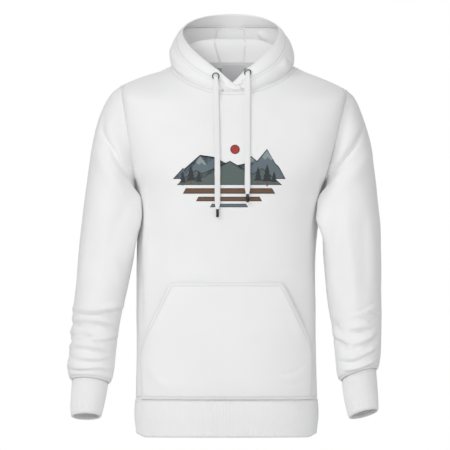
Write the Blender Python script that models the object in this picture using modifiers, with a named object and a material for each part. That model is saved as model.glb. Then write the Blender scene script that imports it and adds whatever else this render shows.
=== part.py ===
"""A pullover hooded sweatshirt in the shape that it takes when it is worn, with its hood down.

Metres, +Z up. The wearer faces -Y, so the wearer's right is at -X. The origin is in the middle of the
neck opening, where the wearer's neck and shoulders carry the garment. The body panels, sleeves, hood
panels, cuffs and hem are shells a fabric's thickness deep. The body panels are drawn on their inner
face and the sleeves on their outer one, so that both meet flush at the armholes.
"""

import math
from collections import namedtuple

import bmesh
import bpy
from mathutils import Vector

# Fabric
FLEECE = 0.0025
RIB = 0.0036
SEAM_GAP = 0.0004

# Neck opening and shoulders
NECK_X = 0.006
NECK_HALF_WIDTH = 0.118
NECK_FRONT_DEPTH = 0.092
NECK_BACK_DEPTH = 0.075
NECK_SIDE_Z = 0.033
NECK_FRONT_DROP = 0.050
NECK_BACK_RISE = 0.005
NECK_SHARE = 0.56  # of a body panel's top edge, from its middle out
SHOULDER_CROWN = 0.003

# Body length
HEM_SEAM_Z = -0.633
HEM_HEIGHT = 0.075

# Each row of the body, from the hem seam up: its middle, then the front's and the back's there. A row
# ends on the side seams, half a width from the middle and level with the front, or on the armhole, arm
# degrees down from the shoulder.
BodyRow = namedtuple("BodyRow", "mid half arm front_y front_z back_y back_z square")
BODY_ROWS = (
    BodyRow(-0.006, 0.179, None, -0.117, -0.633, 0.108, -0.633, 2.6),
    BodyRow(-0.006, 0.177, None, -0.120, -0.540, 0.103, -0.540, 2.6),
    BodyRow(-0.006, 0.176, None, -0.121, -0.440, 0.100, -0.440, 2.6),
    BodyRow(-0.004, 0.174, None, -0.123, -0.330, 0.105, -0.330, 2.5),
    BodyRow(0.001, None, 180, -0.127, -0.238, 0.115, -0.235, 2.4),
    BodyRow(0.002, None, 135, -0.127, -0.178, 0.119, -0.170, 2.4),
    BodyRow(0.004, None, 90, -0.120, -0.118, 0.118, -0.105, 2.3),
    BodyRow(0.005, None, 50, -0.109, -0.069, 0.106, -0.045, 2.2),
    BodyRow(0.006, None, 22, -0.099, -0.037, 0.090, 0.004, 2.1),
)

# Rings along each sleeve, from the armhole to where it gathers into the cuff: the side next to the
# body, the outer side, half of its depth front to back, its middle and how far its front is raised.
ArmRing = namedtuple("ArmRing", "inner_x inner_z outer_x outer_z depth mid_y rise")
ARM_RINGS = {
    "right": (
        ArmRing(-0.184, -0.214, -0.217, -0.004, 0.060, 0.000, 0.000),
        ArmRing(-0.190, -0.226, -0.248, -0.030, 0.067, 0.000, 0.000),
        ArmRing(-0.190, -0.242, -0.272, -0.098, 0.073, -0.002, 0.000),
        ArmRing(-0.189, -0.268, -0.285, -0.188, 0.074, -0.006, 0.002),
        ArmRing(-0.188, -0.304, -0.297, -0.276, 0.072, -0.012, 0.004),
        ArmRing(-0.190, -0.346, -0.302, -0.346, 0.069, -0.018, 0.006),
        ArmRing(-0.200, -0.396, -0.308, -0.404, 0.066, -0.024, 0.007),
        ArmRing(-0.213, -0.454, -0.316, -0.460, 0.062, -0.030, 0.008),
        ArmRing(-0.224, -0.514, -0.321, -0.520, 0.058, -0.038, 0.009),
        ArmRing(-0.230, -0.566, -0.327, -0.562, 0.056, -0.046, 0.010),
        ArmRing(-0.235, -0.594, -0.323, -0.586, 0.050, -0.050, 0.010),
        ArmRing(-0.241, -0.601, -0.317, -0.594, 0.043, -0.051, 0.009),
    ),
    "left": (
        ArmRing(0.186, -0.212, 0.235, -0.013, 0.060, 0.000, 0.000),
        ArmRing(0.191, -0.224, 0.257, -0.036, 0.067, 0.000, 0.000),
        ArmRing(0.190, -0.240, 0.280, -0.104, 0.073, -0.002, 0.000),
        ArmRing(0.188, -0.266, 0.294, -0.190, 0.074, -0.006, 0.002),
        ArmRing(0.185, -0.304, 0.302, -0.276, 0.072, -0.012, 0.004),
        ArmRing(0.188, -0.350, 0.304, -0.340, 0.069, -0.018, 0.006),
        ArmRing(0.192, -0.404, 0.305, -0.394, 0.066, -0.024, 0.007),
        ArmRing(0.199, -0.462, 0.306, -0.448, 0.062, -0.030, 0.008),
        ArmRing(0.209, -0.520, 0.306, -0.504, 0.058, -0.038, 0.009),
        ArmRing(0.213, -0.570, 0.304, -0.546, 0.056, -0.046, 0.010),
        ArmRing(0.217, -0.590, 0.300, -0.567, 0.050, -0.050, 0.010),
        ArmRing(0.223, -0.596, 0.295, -0.573, 0.043, -0.051, 0.009),
    ),
}
ARMHOLE_CLEAR_TOP = 0.0036
ARMHOLE_CLEAR_BOTTOM = 0.0060

# Each cuff, from its seam to the wrist.
CUFF_RINGS = {
    "right": (
        ArmRing(-0.2420, -0.6014, -0.3160, -0.5944, 0.042, -0.051, 0.009),
        ArmRing(-0.247, -0.628, -0.317, -0.622, 0.038, -0.053, 0.007),
        ArmRing(-0.252, -0.650, -0.319, -0.647, 0.036, -0.056, 0.007),
        ArmRing(-0.256, -0.668, -0.318, -0.667, 0.034, -0.058, 0.007),
    ),
    "left": (
        ArmRing(0.2240, -0.5964, 0.2940, -0.5734, 0.042, -0.051, 0.009),
        ArmRing(0.228, -0.628, 0.296, -0.607, 0.038, -0.053, 0.007),
        ArmRing(0.233, -0.650, 0.298, -0.632, 0.036, -0.056, 0.007),
        ArmRing(0.238, -0.670, 0.299, -0.655, 0.034, -0.058, 0.007),
    ),
}

# The front pocket, seen from the front
POCKET_X = -0.006
POCKET_TOP_Z = -0.398
POCKET_SLANT_Z = -0.536
POCKET_TOP_HALF = 0.110
POCKET_BASE_HALF = 0.166
POCKET_SEWN_LIFT = 0.0010
POCKET_ROOM = 0.012

# The hood's rim: a ring that dips to the throat and rises behind the neck.
RIM_X = 0.003
RIM_HALF_WIDTH = 0.098
RIM_HEIGHT = 0.138
RIM_MID_Y = 0.030
RIM_HALF_DEPTH = 0.120
RIM_DIP_POWER = 0.95

# Along the hood's fabric, from the neck seam to the rim. Behind the neck it rises to a ridge, drops
# into the pouch and comes up again outside it: half width, depth behind the neck and height. Beside and
# before the neck it only bulges.
HoodRow = namedtuple("HoodRow", "half depth z bulge")
HOOD_ROWS = (
    HoodRow(0.118, 0.075, 0.041, 0.000),
    HoodRow(0.112, 0.079, 0.080, 0.006),
    HoodRow(0.108, 0.091, 0.091, 0.010),
    HoodRow(0.106, 0.105, 0.066, 0.012),
    HoodRow(0.103, 0.116, 0.010, 0.013),
    HoodRow(0.097, 0.133, -0.050, 0.013),
    HoodRow(0.106, 0.154, -0.040, 0.013),
    HoodRow(0.117, 0.167, 0.020, 0.011),
    HoodRow(0.115, 0.168, 0.088, 0.006),
    HoodRow(0.098, 0.150, 0.138, 0.000),
)
HOOD_X = 0.001
HOOD_SEAM_LIFT = 0.0036
HOOD_SIDE_LIFT = 0.0030
HOOD_SQUARE = 2.5
THROAT_BULGE = 0.35  # share of the bulge at the throat
THROAT_OVERLAP = 8  # degrees past the middle
THROAT_INSET = 0.0062
THROAT_BLEND = (10, 28)
STRIP_HALF_ANGLE = 12
STRIP_GAP_ANGLE = 0.4
TUNNEL_SHARE = 0.055  # of the fabric from seam to rim behind the neck
TUNNEL_THROAT_SHARE = 0.55
TUNNEL_THICKNESS = 0.004
TUNNEL_GAP = 0.0035
TUNNEL_THROAT_GAP = 0.11

# Neck tape and label, inside the back of the neck
TAPE_THICKNESS = 0.0012
TAPE_INSET = 0.0026
TAPE_ANGLES = (112, 248)
TAPE_ABOVE = 0.005
TAPE_BELOW = 0.007
LABEL_SIZE = (0.045, 0.0009, 0.055)
LABEL_MIDDLE = (0.0065, 0.0698, 0.0095)

# Drawcord, its eyelets and its aglets. Each end comes out of its eyelet, over the eyelet's lower edge,
# and hangs down against the chest.
CORD_RADIUS = 0.0025
CORD_SPACING = 0.0125
CORD_ROUTES = {
    "right": (
        (-0.0273, -0.0963, 0.0136),
        (-0.0273, -0.1002, 0.0125),
        (-0.0272, -0.1030, 0.0100),
        (-0.0270, -0.1042, 0.0050),
        (-0.0268, -0.1038, -0.0020),
        (-0.0267, -0.1032, -0.0110),
        (-0.0266, -0.1034, -0.0220),
        (-0.0264, -0.1050, -0.0340),
        (-0.0262, -0.1084, -0.0470),
        (-0.0259, -0.1124, -0.0600),
        (-0.0255, -0.1178, -0.0800),
        (-0.0251, -0.1225, -0.1000),
        (-0.0247, -0.1263, -0.1200),
        (-0.0244, -0.1292, -0.1400),
        (-0.0242, -0.1315, -0.1600),
        (-0.0241, -0.1330, -0.1800),
        (-0.0240, -0.1336, -0.2000),
        (-0.0240, -0.1336, -0.2200),
        (-0.0240, -0.1334, -0.2380),
        (-0.0240, -0.1333, -0.2520),
    ),
    "left": (
        (0.0378, -0.0903, 0.0207),
        (0.0369, -0.0943, 0.0206),
        (0.0364, -0.0978, 0.0186),
        (0.0363, -0.1000, 0.0148),
        (0.0363, -0.1012, 0.0080),
        (0.0363, -0.1014, -0.0010),
        (0.0363, -0.1014, -0.0110),
        (0.0363, -0.1024, -0.0220),
        (0.0362, -0.1046, -0.0340),
        (0.0362, -0.1084, -0.0470),
        (0.0361, -0.1125, -0.0600),
        (0.0361, -0.1177, -0.0800),
        (0.0360, -0.1224, -0.1000),
        (0.0360, -0.1262, -0.1200),
        (0.0360, -0.1290, -0.1400),
        (0.0360, -0.1313, -0.1600),
        (0.0360, -0.1327, -0.1800),
        (0.0360, -0.1332, -0.2000),
        (0.0360, -0.1331, -0.2220),
    ),
}
EYELET_RADIUS = 0.0058
EYELET_WIRE = 0.0017
EYELET_LIFT = 0.0004
AGLET_RADIUS = 0.0029
AGLET_LENGTH = 0.016
AGLET_GAP = 0.0003
EYELETS = {"right": (-0.027, 0.012), "left": (0.038, 0.018)}

SIGN = {"right": -1, "left": 1}

# Mesh resolution
BODY_GRID = (22, 18)
SLEEVE_GRID = (18, 20)
CUFF_GRID = (18, 3)
HEM_GRID = (32, 4)
POCKET_GRID = (16, 12)
HOOD_GRID = (13, 18)
STRIP_GRID = (3, 18)
TUNNEL_GRID = (36, 2)


def clear_scene():
    for thing in list(bpy.data.objects):
        bpy.data.objects.remove(thing, do_unlink=True)


def material(name, colour, roughness, metallic=0.0):
    made = bpy.data.materials.new(name)
    made.use_nodes = True
    shader = made.node_tree.nodes["Principled BSDF"]
    shader.inputs["Base Color"].default_value = (*colour, 1.0)
    shader.inputs["Roughness"].default_value = roughness
    shader.inputs["Metallic"].default_value = metallic
    return made


def mix(a, b, share):
    return a + (b - a) * share


def smooth_step(low, high, value):
    share = min(1.0, max(0.0, (value - low) / (high - low)))
    return share * share * (3 - 2 * share)


def through(points, share):
    """The smooth curve through these points, at a share of its length in points."""
    place = min(max(share, 0.0), 1.0) * (len(points) - 1)
    index = min(int(place), len(points) - 2)
    t = place - index
    here, there = points[index], points[index + 1]
    before = points[index - 1] if index else here * 2 - there
    after = points[index + 2] if index + 2 < len(points) else there * 2 - here
    return (
        here * 2
        + (there - before) * t
        + (before * 2 - here * 5 + there * 4 - after) * t**2
        + (here * 3 - before - there * 3 + after) * t**3
    ) / 2


def shell(name, collection, finish, surface, grid, thickness, outwards=True, ring=False):
    """A sheet at surface(u, v), made thickness deep. A ring's u goes right round."""
    bm = bmesh.new()
    bmesh.ops.create_grid(bm, x_segments=grid[0], y_segments=grid[1], size=0.5)
    for vertex in bm.verts:
        vertex.co = surface(vertex.co.x + 0.5, vertex.co.y + 0.5)
    if ring:
        bmesh.ops.remove_doubles(bm, verts=bm.verts, dist=1e-6)
    mesh = bpy.data.meshes.new(name)
    bm.to_mesh(mesh)
    bm.free()
    made = add_object(name, mesh, collection, finish)
    wall = made.modifiers.new("Fabric", "SOLIDIFY")
    wall.thickness = thickness
    wall.offset = 1.0 if outwards else -1.0
    wall.use_quality_normals = True
    return made


def add_object(name, data, collection, finish):
    data.materials.append(finish)
    made = bpy.data.objects.new(name, data)
    collection.objects.link(made)
    if hasattr(data, "shade_smooth"):
        data.shade_smooth()
    return made


def arm_point(ring, degrees, grow=0.0):
    """A point of a sleeve's ring: 0 at its outer side, 90 at its front and 180 beside the body."""
    inner = Vector((ring.inner_x, ring.mid_y, ring.inner_z))
    outer = Vector((ring.outer_x, ring.mid_y, ring.outer_z))
    across = (outer - inner) / 2
    across = across * (1 + grow / across.length)
    forward = Vector((0, -ring.depth - grow, ring.rise))
    turn = math.radians(degrees)
    return (inner + outer) / 2 + across * math.cos(turn) + forward * math.sin(turn)


def neck_point(degrees):
    """The neck seam, from 0 at the throat to 90 at the wearer's left and 180 behind."""
    turn = math.radians(degrees)
    toward_front = math.cos(turn)
    if toward_front > 0:
        y = -NECK_FRONT_DEPTH * toward_front
        z = NECK_SIDE_Z - NECK_FRONT_DROP * toward_front**1.3
    else:
        y = -NECK_BACK_DEPTH * toward_front
        z = NECK_SIDE_Z - NECK_BACK_RISE * toward_front
    return Vector((NECK_X + NECK_HALF_WIDTH * math.sin(turn), y, z))


def body_top(share, front):
    """A body panel's top edge, with share from -1 at the wearer's right to 1 at the left."""
    side = "left" if share > 0 else "right"
    reach = abs(share)
    if reach < NECK_SHARE:
        turn = 90 * reach / NECK_SHARE
        return neck_point(SIGN[side] * (turn if front else 180 - turn))
    along = (reach - NECK_SHARE) / (1 - NECK_SHARE)
    neck = neck_point(SIGN[side] * 90)
    tip = arm_point(ARM_RINGS[side][0], 0)
    return neck.lerp(tip, along) + Vector((0, 0, SHOULDER_CROWN * math.sin(math.pi * along)))


def body_row_point(row, share, front):
    """One row of a body panel: an oval with squared corners between its two side edges."""
    turn = math.pi * (1 - share) / 2
    ahead = abs(math.sin(turn)) ** (2 / row.square)
    aside = math.copysign(abs(math.cos(turn)) ** (2 / row.square), share)
    side = "left" if share > 0 else "right"
    if row.arm is None:
        edge = Vector((row.mid + SIGN[side] * row.half, 0, row.front_z))
    else:
        edge = arm_point(ARM_RINGS[side][0], row.arm if front else -row.arm)
    y = row.front_y if front else row.back_y
    z = row.front_z if front else row.back_z
    x = mix(row.mid, edge.x, abs(aside))
    return Vector((x, mix(edge.y, y, ahead), mix(edge.z, z, math.sin(turn) ** 2)))


def body_point(share, height, front, gap=SEAM_GAP):
    """A body panel: share from -1 to 1 across it, height from 0 at the hem seam to 1 at its top."""
    rows = [body_row_point(row, share, front) for row in BODY_ROWS]
    point = through([*rows, body_top(share, front)], height)
    point.y = min(point.y, 0) - gap if front else max(point.y, 0) + gap
    return point


def root_of(function, wanted, low, high):
    """Where an increasing function has the wanted value."""
    for _ in range(26):
        middle = (low + high) / 2
        if function(middle) < wanted:
            low = middle
        else:
            high = middle
    return (low + high) / 2


def on_front(x, z, lift):
    """The point that stands lift off the front panel's outer face at this x and z."""
    share, height = 0.0, 0.5
    for _ in range(4):
        height = root_of(lambda h: body_point(share, h, True).z, z, 0.0, 1.0)
        share = root_of(lambda s: body_point(s, height, True).x, x, -1.0, 1.0)
    step = 0.01
    here = body_point(share, height, True)
    across = body_point(share + step, height, True) - body_point(share - step, height, True)
    up = body_point(share, min(height + step, 1), True) - body_point(share, height - step, True)
    return here + across.cross(up).normalized() * (FLEECE + lift)


def add_body(collection, finish):
    for name, front in (("body_front", True), ("body_back", False)):
        turn = 1 if front else -1
        shell(
            name,
            collection,
            finish,
            lambda u, v, front=front, turn=turn: body_point(turn * (2 * u - 1), v, front),
            BODY_GRID,
            FLEECE,
        )


def sleeve_point(side, u, v):
    """A sleeve's outer face: u round it, v from 0 at the cuff to 1 at the armhole."""
    degrees = -360 * u * SIGN[side]
    rings = []
    for index, ring in enumerate(ARM_RINGS[side]):
        point = arm_point(ring, degrees, FLEECE if index == 0 else 0.0)
        if index == 0:
            low = (1 - math.cos(math.radians(degrees))) / 2
            point.x += SIGN[side] * mix(ARMHOLE_CLEAR_TOP, ARMHOLE_CLEAR_BOTTOM, low)
        rings.append(point)
    return through(rings[::-1], v)


def add_sleeves(collection, fleece, rib):
    for side in SIGN:
        shell(
            f"sleeve_{side}",
            collection,
            fleece,
            lambda u, v, side=side: sleeve_point(side, u, v),
            SLEEVE_GRID,
            FLEECE,
            outwards=False,
            ring=True,
        )
        shell(
            f"cuff_{side}",
            collection,
            rib,
            lambda u, v, side=side: through(
                [arm_point(ring, -360 * u * SIGN[side]) for ring in CUFF_RINGS[side]][::-1], v
            ),
            CUFF_GRID,
            RIB,
            outwards=False,
            ring=True,
        )


def hem_point(u, v):
    """The hem rib's inner face: u round it from the wearer's right by the front, v upwards."""
    turn = 2 * math.pi * u
    seam = body_point(-math.cos(turn), 0.0, math.sin(turn) > 0, gap=0.0)
    row = BODY_ROWS[0]
    flare = 1 + 0.018 * math.sin(math.pi * min(1.0, 1.3 * (1 - v))) - 0.010 * (1 - v)
    z = HEM_SEAM_Z - SEAM_GAP * 2 - HEM_HEIGHT * (1 - v)
    return Vector((row.mid + (seam.x - row.mid) * flare, seam.y * flare, z))


def add_hem(collection, finish):
    shell("hem_rib", collection, finish, hem_point, HEM_GRID, RIB, ring=True)


def pocket_point(u, v):
    """The pocket's inner face: u across it, v from 0 at the hem seam to 1 at its top edge."""
    z = mix(HEM_SEAM_Z + 2 * SEAM_GAP, POCKET_TOP_Z, v)
    slant = min(1.0, max(0.0, (z - POCKET_SLANT_Z) / (POCKET_TOP_Z - POCKET_SLANT_Z)))
    half = mix(POCKET_BASE_HALF, POCKET_TOP_HALF, slant)
    open_side = smooth_step(0.0, 0.25, slant)
    across = math.sin(math.pi * u)
    side_room = mix(across**0.5, 0.85 + 0.15 * across, open_side)
    room = POCKET_ROOM * side_room * math.sin(math.pi * v) ** 0.5
    aside = math.sin(math.pi * (u - 0.5))
    return on_front(POCKET_X + half * aside, z, POCKET_SEWN_LIFT + room)


def add_pocket(collection, finish):
    shell("kangaroo_pocket", collection, finish, pocket_point, POCKET_GRID, FLEECE)


def rim_point(degrees):
    """The hood's rim, from 0 at the throat round to 180 behind the neck."""
    turn = math.radians(degrees)
    x = mix(NECK_X, RIM_X, abs(math.sin(turn))) + RIM_HALF_WIDTH * math.sin(turn)
    height = RIM_HEIGHT * abs(math.sin(turn / 2)) ** RIM_DIP_POWER
    return Vector((x, RIM_MID_Y - RIM_HALF_DEPTH * math.cos(turn), height))


def hood_seam_point(degrees):
    """Where the hood starts, just above the body's neck edge."""
    turn = math.radians(degrees)
    lift = HOOD_SEAM_LIFT + HOOD_SIDE_LIFT * math.sin(turn) ** 2
    return neck_point(degrees) + Vector((0, 0, lift))


def hood_point(degrees, v, inset=0.0):
    """The hood's inner face. v runs from 0 at the neck seam to 1 at the rim."""
    turn = math.radians(degrees)
    behind = smooth_step(0.30, 1.00, -math.cos(turn))
    bulging = mix(THROAT_BULGE, 1.0, smooth_step(0.0, 1.0, abs(math.sin(turn))))
    seam, rim = hood_seam_point(degrees), rim_point(degrees)
    outward = Vector((math.sin(turn), -math.cos(turn), 0))
    aside = math.copysign(abs(math.sin(turn)) ** (2 / HOOD_SQUARE), math.sin(turn))
    backward = abs(math.cos(turn)) ** (2 / HOOD_SQUARE)
    points = []
    for index, row in enumerate(HOOD_ROWS):
        beside = seam.lerp(rim, index / (len(HOOD_ROWS) - 1)) + outward * row.bulge * bulging
        pouch = Vector((HOOD_X + row.half * aside, row.depth * backward, row.z))
        points.append(beside.lerp(pouch, behind))
    points[0], points[-1] = seam, rim
    return through(points, v) - outward * inset


def throat_inset(degrees):
    """How far the wearer's left end stands back, to pass behind the right one at the throat."""
    return THROAT_INSET * (1 - smooth_step(*THROAT_BLEND, degrees))


def tunnel_edge(degrees):
    """Shares of the fabric, from the seam: where the panels end and where the drawcord tunnel starts."""
    behind = smooth_step(-1.0, 0.9, -math.cos(math.radians(degrees))) ** 0.5
    edge = 1 - mix(TUNNEL_THROAT_SHARE, TUNNEL_SHARE, behind)
    return edge - mix(TUNNEL_THROAT_GAP, TUNNEL_GAP, behind), edge


def hood_panel(name, collection, finish, start, end, grid):
    """A panel between two angles, from the neck seam up to the drawcord tunnel."""

    def surface(u, v):
        degrees = mix(start, end, u)
        return hood_point(degrees, v * tunnel_edge(degrees)[0], throat_inset(degrees))

    shell(name, collection, finish, surface, grid, FLEECE)


def add_hood(collection, finish):
    strip = 180 - STRIP_HALF_ANGLE, 180 + STRIP_HALF_ANGLE
    near, far = strip[0] - STRIP_GAP_ANGLE, strip[1] + STRIP_GAP_ANGLE
    hood_panel("hood_side_left", collection, finish, -THROAT_OVERLAP, near, HOOD_GRID)
    hood_panel("hood_centre", collection, finish, *strip, STRIP_GRID)
    hood_panel("hood_side_right", collection, finish, far, 360 + THROAT_OVERLAP, HOOD_GRID)


def tunnel_point(u, v):
    degrees = mix(-THROAT_OVERLAP, 360 + THROAT_OVERLAP, u)
    return hood_point(degrees, mix(tunnel_edge(degrees)[1], 1.0, v), throat_inset(degrees))


def add_tunnel(collection, finish):
    shell("hood_tunnel", collection, finish, tunnel_point, TUNNEL_GRID, TUNNEL_THICKNESS)


def on_tunnel(x, z, lift):
    """The point that stands lift off the tunnel's outer face near the throat, and the way it faces."""
    throat = 0.0 if x > NECK_X else 360.0
    degrees, v = throat, 0.8

    def face(degrees, v):
        return hood_point(degrees, v, throat_inset(degrees))

    for _ in range(4):
        degrees = root_of(lambda d: face(d, v).x, x, throat - 60, throat + 60)
        v = root_of(lambda share: face(degrees, share).z, z, 0.2, 1.0)
    across = face(degrees + 1, v) - face(degrees - 1, v)
    up = face(degrees, v + 0.01) - face(degrees, v - 0.01)
    outward = across.cross(up).normalized()
    return face(degrees, v) + outward * (TUNNEL_THICKNESS + lift), outward


def add_eyelets(collection, finish):
    for side, (x, z) in EYELETS.items():
        middle, outward = on_tunnel(x, z, EYELET_WIRE + EYELET_LIFT)
        bpy.ops.mesh.primitive_torus_add(
            major_segments=18,
            minor_segments=8,
            major_radius=EYELET_RADIUS,
            minor_radius=EYELET_WIRE,
            location=middle,
            rotation=outward.to_track_quat("Z", "Y").to_euler(),
        )
        take_in(bpy.context.object, f"eyelet_{side}", collection, finish)


def take_in(made, name, collection, finish):
    """Names the object just added and moves it to the garment's collection."""
    made.name = made.data.name = name
    for home in list(made.users_collection):
        home.objects.unlink(made)
    collection.objects.link(made)
    made.data.materials.append(finish)
    made.data.shade_smooth()


def add_neck_tape(collection, finish):
    def surface(u, v):
        degrees = mix(*TAPE_ANGLES, u)
        turn = math.radians(degrees)
        outward = Vector((math.sin(turn), -math.cos(turn), 0))
        rise = Vector((0, 0, mix(-TAPE_BELOW, TAPE_ABOVE, v)))
        return neck_point(degrees) - outward * TAPE_INSET + rise

    shell("neck_tape", collection, finish, surface, (16, 1), TAPE_THICKNESS)


def add_label(collection, finish):
    bpy.ops.mesh.primitive_cube_add(size=1, location=LABEL_MIDDLE, scale=LABEL_SIZE)
    bpy.ops.object.transform_apply(location=False, rotation=False, scale=True)
    take_in(bpy.context.object, "neck_label", collection, finish)
    bpy.context.object.data.shade_flat()


def add_cords(collection, cotton, metal):
    for side, route in CORD_ROUTES.items():
        points = [Vector(place) for place in route]
        length = sum((b - a).length for a, b in zip(points, points[1:]))
        steps = round(length / CORD_SPACING)
        curve = bpy.data.curves.new(f"drawcord_{side}", "CURVE")
        curve.dimensions = "3D"
        curve.bevel_depth = CORD_RADIUS
        curve.bevel_resolution = 2
        curve.use_fill_caps = True
        spline = curve.splines.new("POLY")
        spline.points.add(steps)
        for index, place in enumerate(spline.points):
            place.co = (*through(points, index / steps), 1)
        add_object(f"drawcord_{side}", curve, collection, cotton)
        end = points[-1] - Vector((0, 0, AGLET_GAP + AGLET_LENGTH / 2))
        bpy.ops.mesh.primitive_cylinder_add(
            vertices=14, radius=AGLET_RADIUS, depth=AGLET_LENGTH, location=end
        )
        take_in(bpy.context.object, f"aglet_{side}", collection, metal)


def main():
    clear_scene()
    garment = bpy.data.collections.new("hooded_sweatshirt")
    bpy.context.scene.collection.children.link(garment)
    fleece = material("white_fleece", (0.86, 0.86, 0.87), 0.9)
    rib = material("white_rib", (0.85, 0.85, 0.86), 0.92)
    cotton = material("white_cord", (0.87, 0.87, 0.88), 0.85)
    tape = material("white_twill", (0.80, 0.80, 0.81), 0.85)
    satin = material("grey_satin", (0.42, 0.43, 0.45), 0.6)
    gunmetal = material("gunmetal", (0.10, 0.10, 0.11), 0.32, metallic=1.0)
    add_body(garment, fleece)
    add_sleeves(garment, fleece, rib)
    add_hem(garment, rib)
    add_pocket(garment, fleece)
    add_hood(garment, fleece)
    add_tunnel(garment, fleece)
    add_neck_tape(garment, tape)
    add_label(garment, satin)
    add_eyelets(garment, gunmetal)
    add_cords(garment, cotton, gunmetal)


main()
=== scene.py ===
"""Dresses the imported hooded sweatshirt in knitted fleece, rib, cord, stitching and a chest print.

Every cloth piece starts from the outer face of its CAD shell, is smoothed and folded, and is then given
its thickness. Lengths are in metres unless a name says mm. The wearer's right is at -X.
"""

import math
from collections import namedtuple

import bmesh
import bpy
import numpy as np
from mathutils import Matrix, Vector
from mathutils.bvhtree import BVHTree
from mathutils.kdtree import KDTree


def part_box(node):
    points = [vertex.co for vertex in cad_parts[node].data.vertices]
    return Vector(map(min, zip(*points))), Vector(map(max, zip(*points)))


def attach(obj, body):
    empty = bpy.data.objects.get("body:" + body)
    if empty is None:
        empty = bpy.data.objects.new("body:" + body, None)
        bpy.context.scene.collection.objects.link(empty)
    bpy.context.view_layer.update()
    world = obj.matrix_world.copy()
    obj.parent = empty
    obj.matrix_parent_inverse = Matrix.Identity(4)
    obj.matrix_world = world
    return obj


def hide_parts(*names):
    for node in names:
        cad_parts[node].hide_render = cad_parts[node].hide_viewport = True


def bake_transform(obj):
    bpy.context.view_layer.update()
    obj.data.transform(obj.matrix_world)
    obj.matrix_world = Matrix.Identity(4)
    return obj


bl_info = {
    "name": "Hooded sweatshirt",
    "version": (1, 0, 0),
    "blender": (4, 5, 0),
    "location": "View3D > Sidebar > Sweatshirt",
    "description": "Dresses the packed hooded sweatshirt",
    "category": "Object",
}

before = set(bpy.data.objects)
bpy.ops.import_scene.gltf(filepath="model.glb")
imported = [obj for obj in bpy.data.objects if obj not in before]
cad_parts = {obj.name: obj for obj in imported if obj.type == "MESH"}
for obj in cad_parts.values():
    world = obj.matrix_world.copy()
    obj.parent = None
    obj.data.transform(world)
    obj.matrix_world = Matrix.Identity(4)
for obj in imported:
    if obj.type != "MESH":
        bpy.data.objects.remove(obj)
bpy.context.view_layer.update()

MM = 0.001
WELD = 2e-5

# Places by which edges are told apart: the neck's middle, half the width of the side and shoulder seams,
# the heights of the hem seam and of the armpits, and the pocket's heights: its top seam, the lower end of
# its mouths, and its foot
NECK_X, SIDE_SEAM, HEM_HEIGHT, ARMPIT_HEIGHT = 0.006, 0.004, -0.625, -0.23
POCKET_TOP, POCKET_MOUTH, POCKET_FOOT = -0.402, -0.545, -0.628

# How finely the CAD faces are subdivided: for cloth, and for the tape and the ribs' guides
CLOTH_LEVELS, GUIDE_LEVELS = 3, 2

# Thicknesses of the cloths, and of a rib between its two faces
FLEECE, RIB, CASING, TAPE, RIB_WALL = 0.0025, 0.0036, 0.0040, 0.0012, 0.0032

# How far an open edge reaches towards its neighbour, how far in the cloth follows an edge that is sewn,
# and how wide the tuck along a seam is
SEAM_REACH, SEWN_REACH, TUCK_WIDTH = 0.0004, 0.020, 0.0022

# How far in from a seam its rows of stitches lie, and the groove and the stitches of a row
NEAR_SEAM, FAR_SEAM, ONE_ROW = 0.0026, 0.0088, 0.0060
TWO_ROWS = (NEAR_SEAM, FAR_SEAM)
GROOVE_WIDTH = 0.0013
STITCH_PITCH, STITCH_SIZE, STITCH_LIFT = 0.0038, (0.0030, 0.0009, 0.0007), 0.00025

# Rib knit: columns of points in each rib, how far its lower edge is rounded, how far above the last row
# but one its stitches lie, and the shares of its height between which the CAD face is looked for
RIB_COLUMNS, RIB_ROUNDED, RIB_STITCHES, RIB_SEEN = 4, 0.0009, 0.0012, (0.015, 0.985)

# The drawcord: points round it, how close its rings are, how it is pinched at its eyelet and its tip, and
# how much wider than the tip's pinch it comes out
CORD_CORNERS, CORD_STEP = 24, 0.003
PINCHED_WIDTH, PINCHED_THICKNESS, EXIT_WIDER = 0.0064, 0.0052, 0.0024
EYELET_RADIUS, EYELET_WIRE = 0.0065, 0.0011

# The print's height above the cloth, how much more each of its layers has, and the size of its faces
PRINT_LIFT, LAYER_LIFT, PRINT_STEP = 0.00030, 0.00007, 0.004

HOOD_PANELS = ("hood_side_right", "hood_side_left", "hood_centre")

# How far the front of each sleeve hangs out over the body, at some heights below the neck, both in mm
LAPS = {
    "right": ((160, 0), (200, 10), (232, 22), (264, 24), (285, 21), (300, 16), (330, 10), (370, 4), (420, 0)),
    "left": ((160, 0), (200, 10), (234, 22), (272, 25), (284, 21), (294, 16), (310, 9), (330, 4), (360, 0)),
}
LAP_TURN, LAP_SPREAD, LAP_EDGE = 50, 25, (0.002, 0.026)

# The body's right side hangs out, and sinks in beside its front, at heights below the neck, both in mm
HANGS_OUT = ((260, 0), (300, 3), (330, 5), (370, 5), (430, 3), (510, 1), (580, 0))
SINKS_IN = ((190, 0), (225, 8), (264, 13), (400, 13), (470, 7), (500, 0))

# The shoulder seams are rounded over by this much, this far to either side
SHOULDER_DROP, SHOULDER_HALF = 0.0041, 0.024

# A fold runs through points seen from the front, in mm. It stands depth proud, or sinks where depth is
# negative, and is width across. With a lean, the cloth tucks in on one side of it: 1 is the left side
# of someone walking along it. It lies where y is within reach.
Fold = namedtuple("Fold", "points depth width lean reach")
FRONT, BACK, ROUND = (-400, -2), (2, 400), (-400, 400)

# Shares of a fold's length in which it fades, and of its depth that it keeps there. The blend where it
# leaves its reach, in mm. The tuck beside a leaning fold: shares of the fold's depth, place and width
FADE, FAINT, REACH_BLEND = 0.28, 0.12, 16
TUCK_DEPTH, TUCK_PLACE, TUCK_SPREAD = 0.75, 1.15, 0.55

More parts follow.
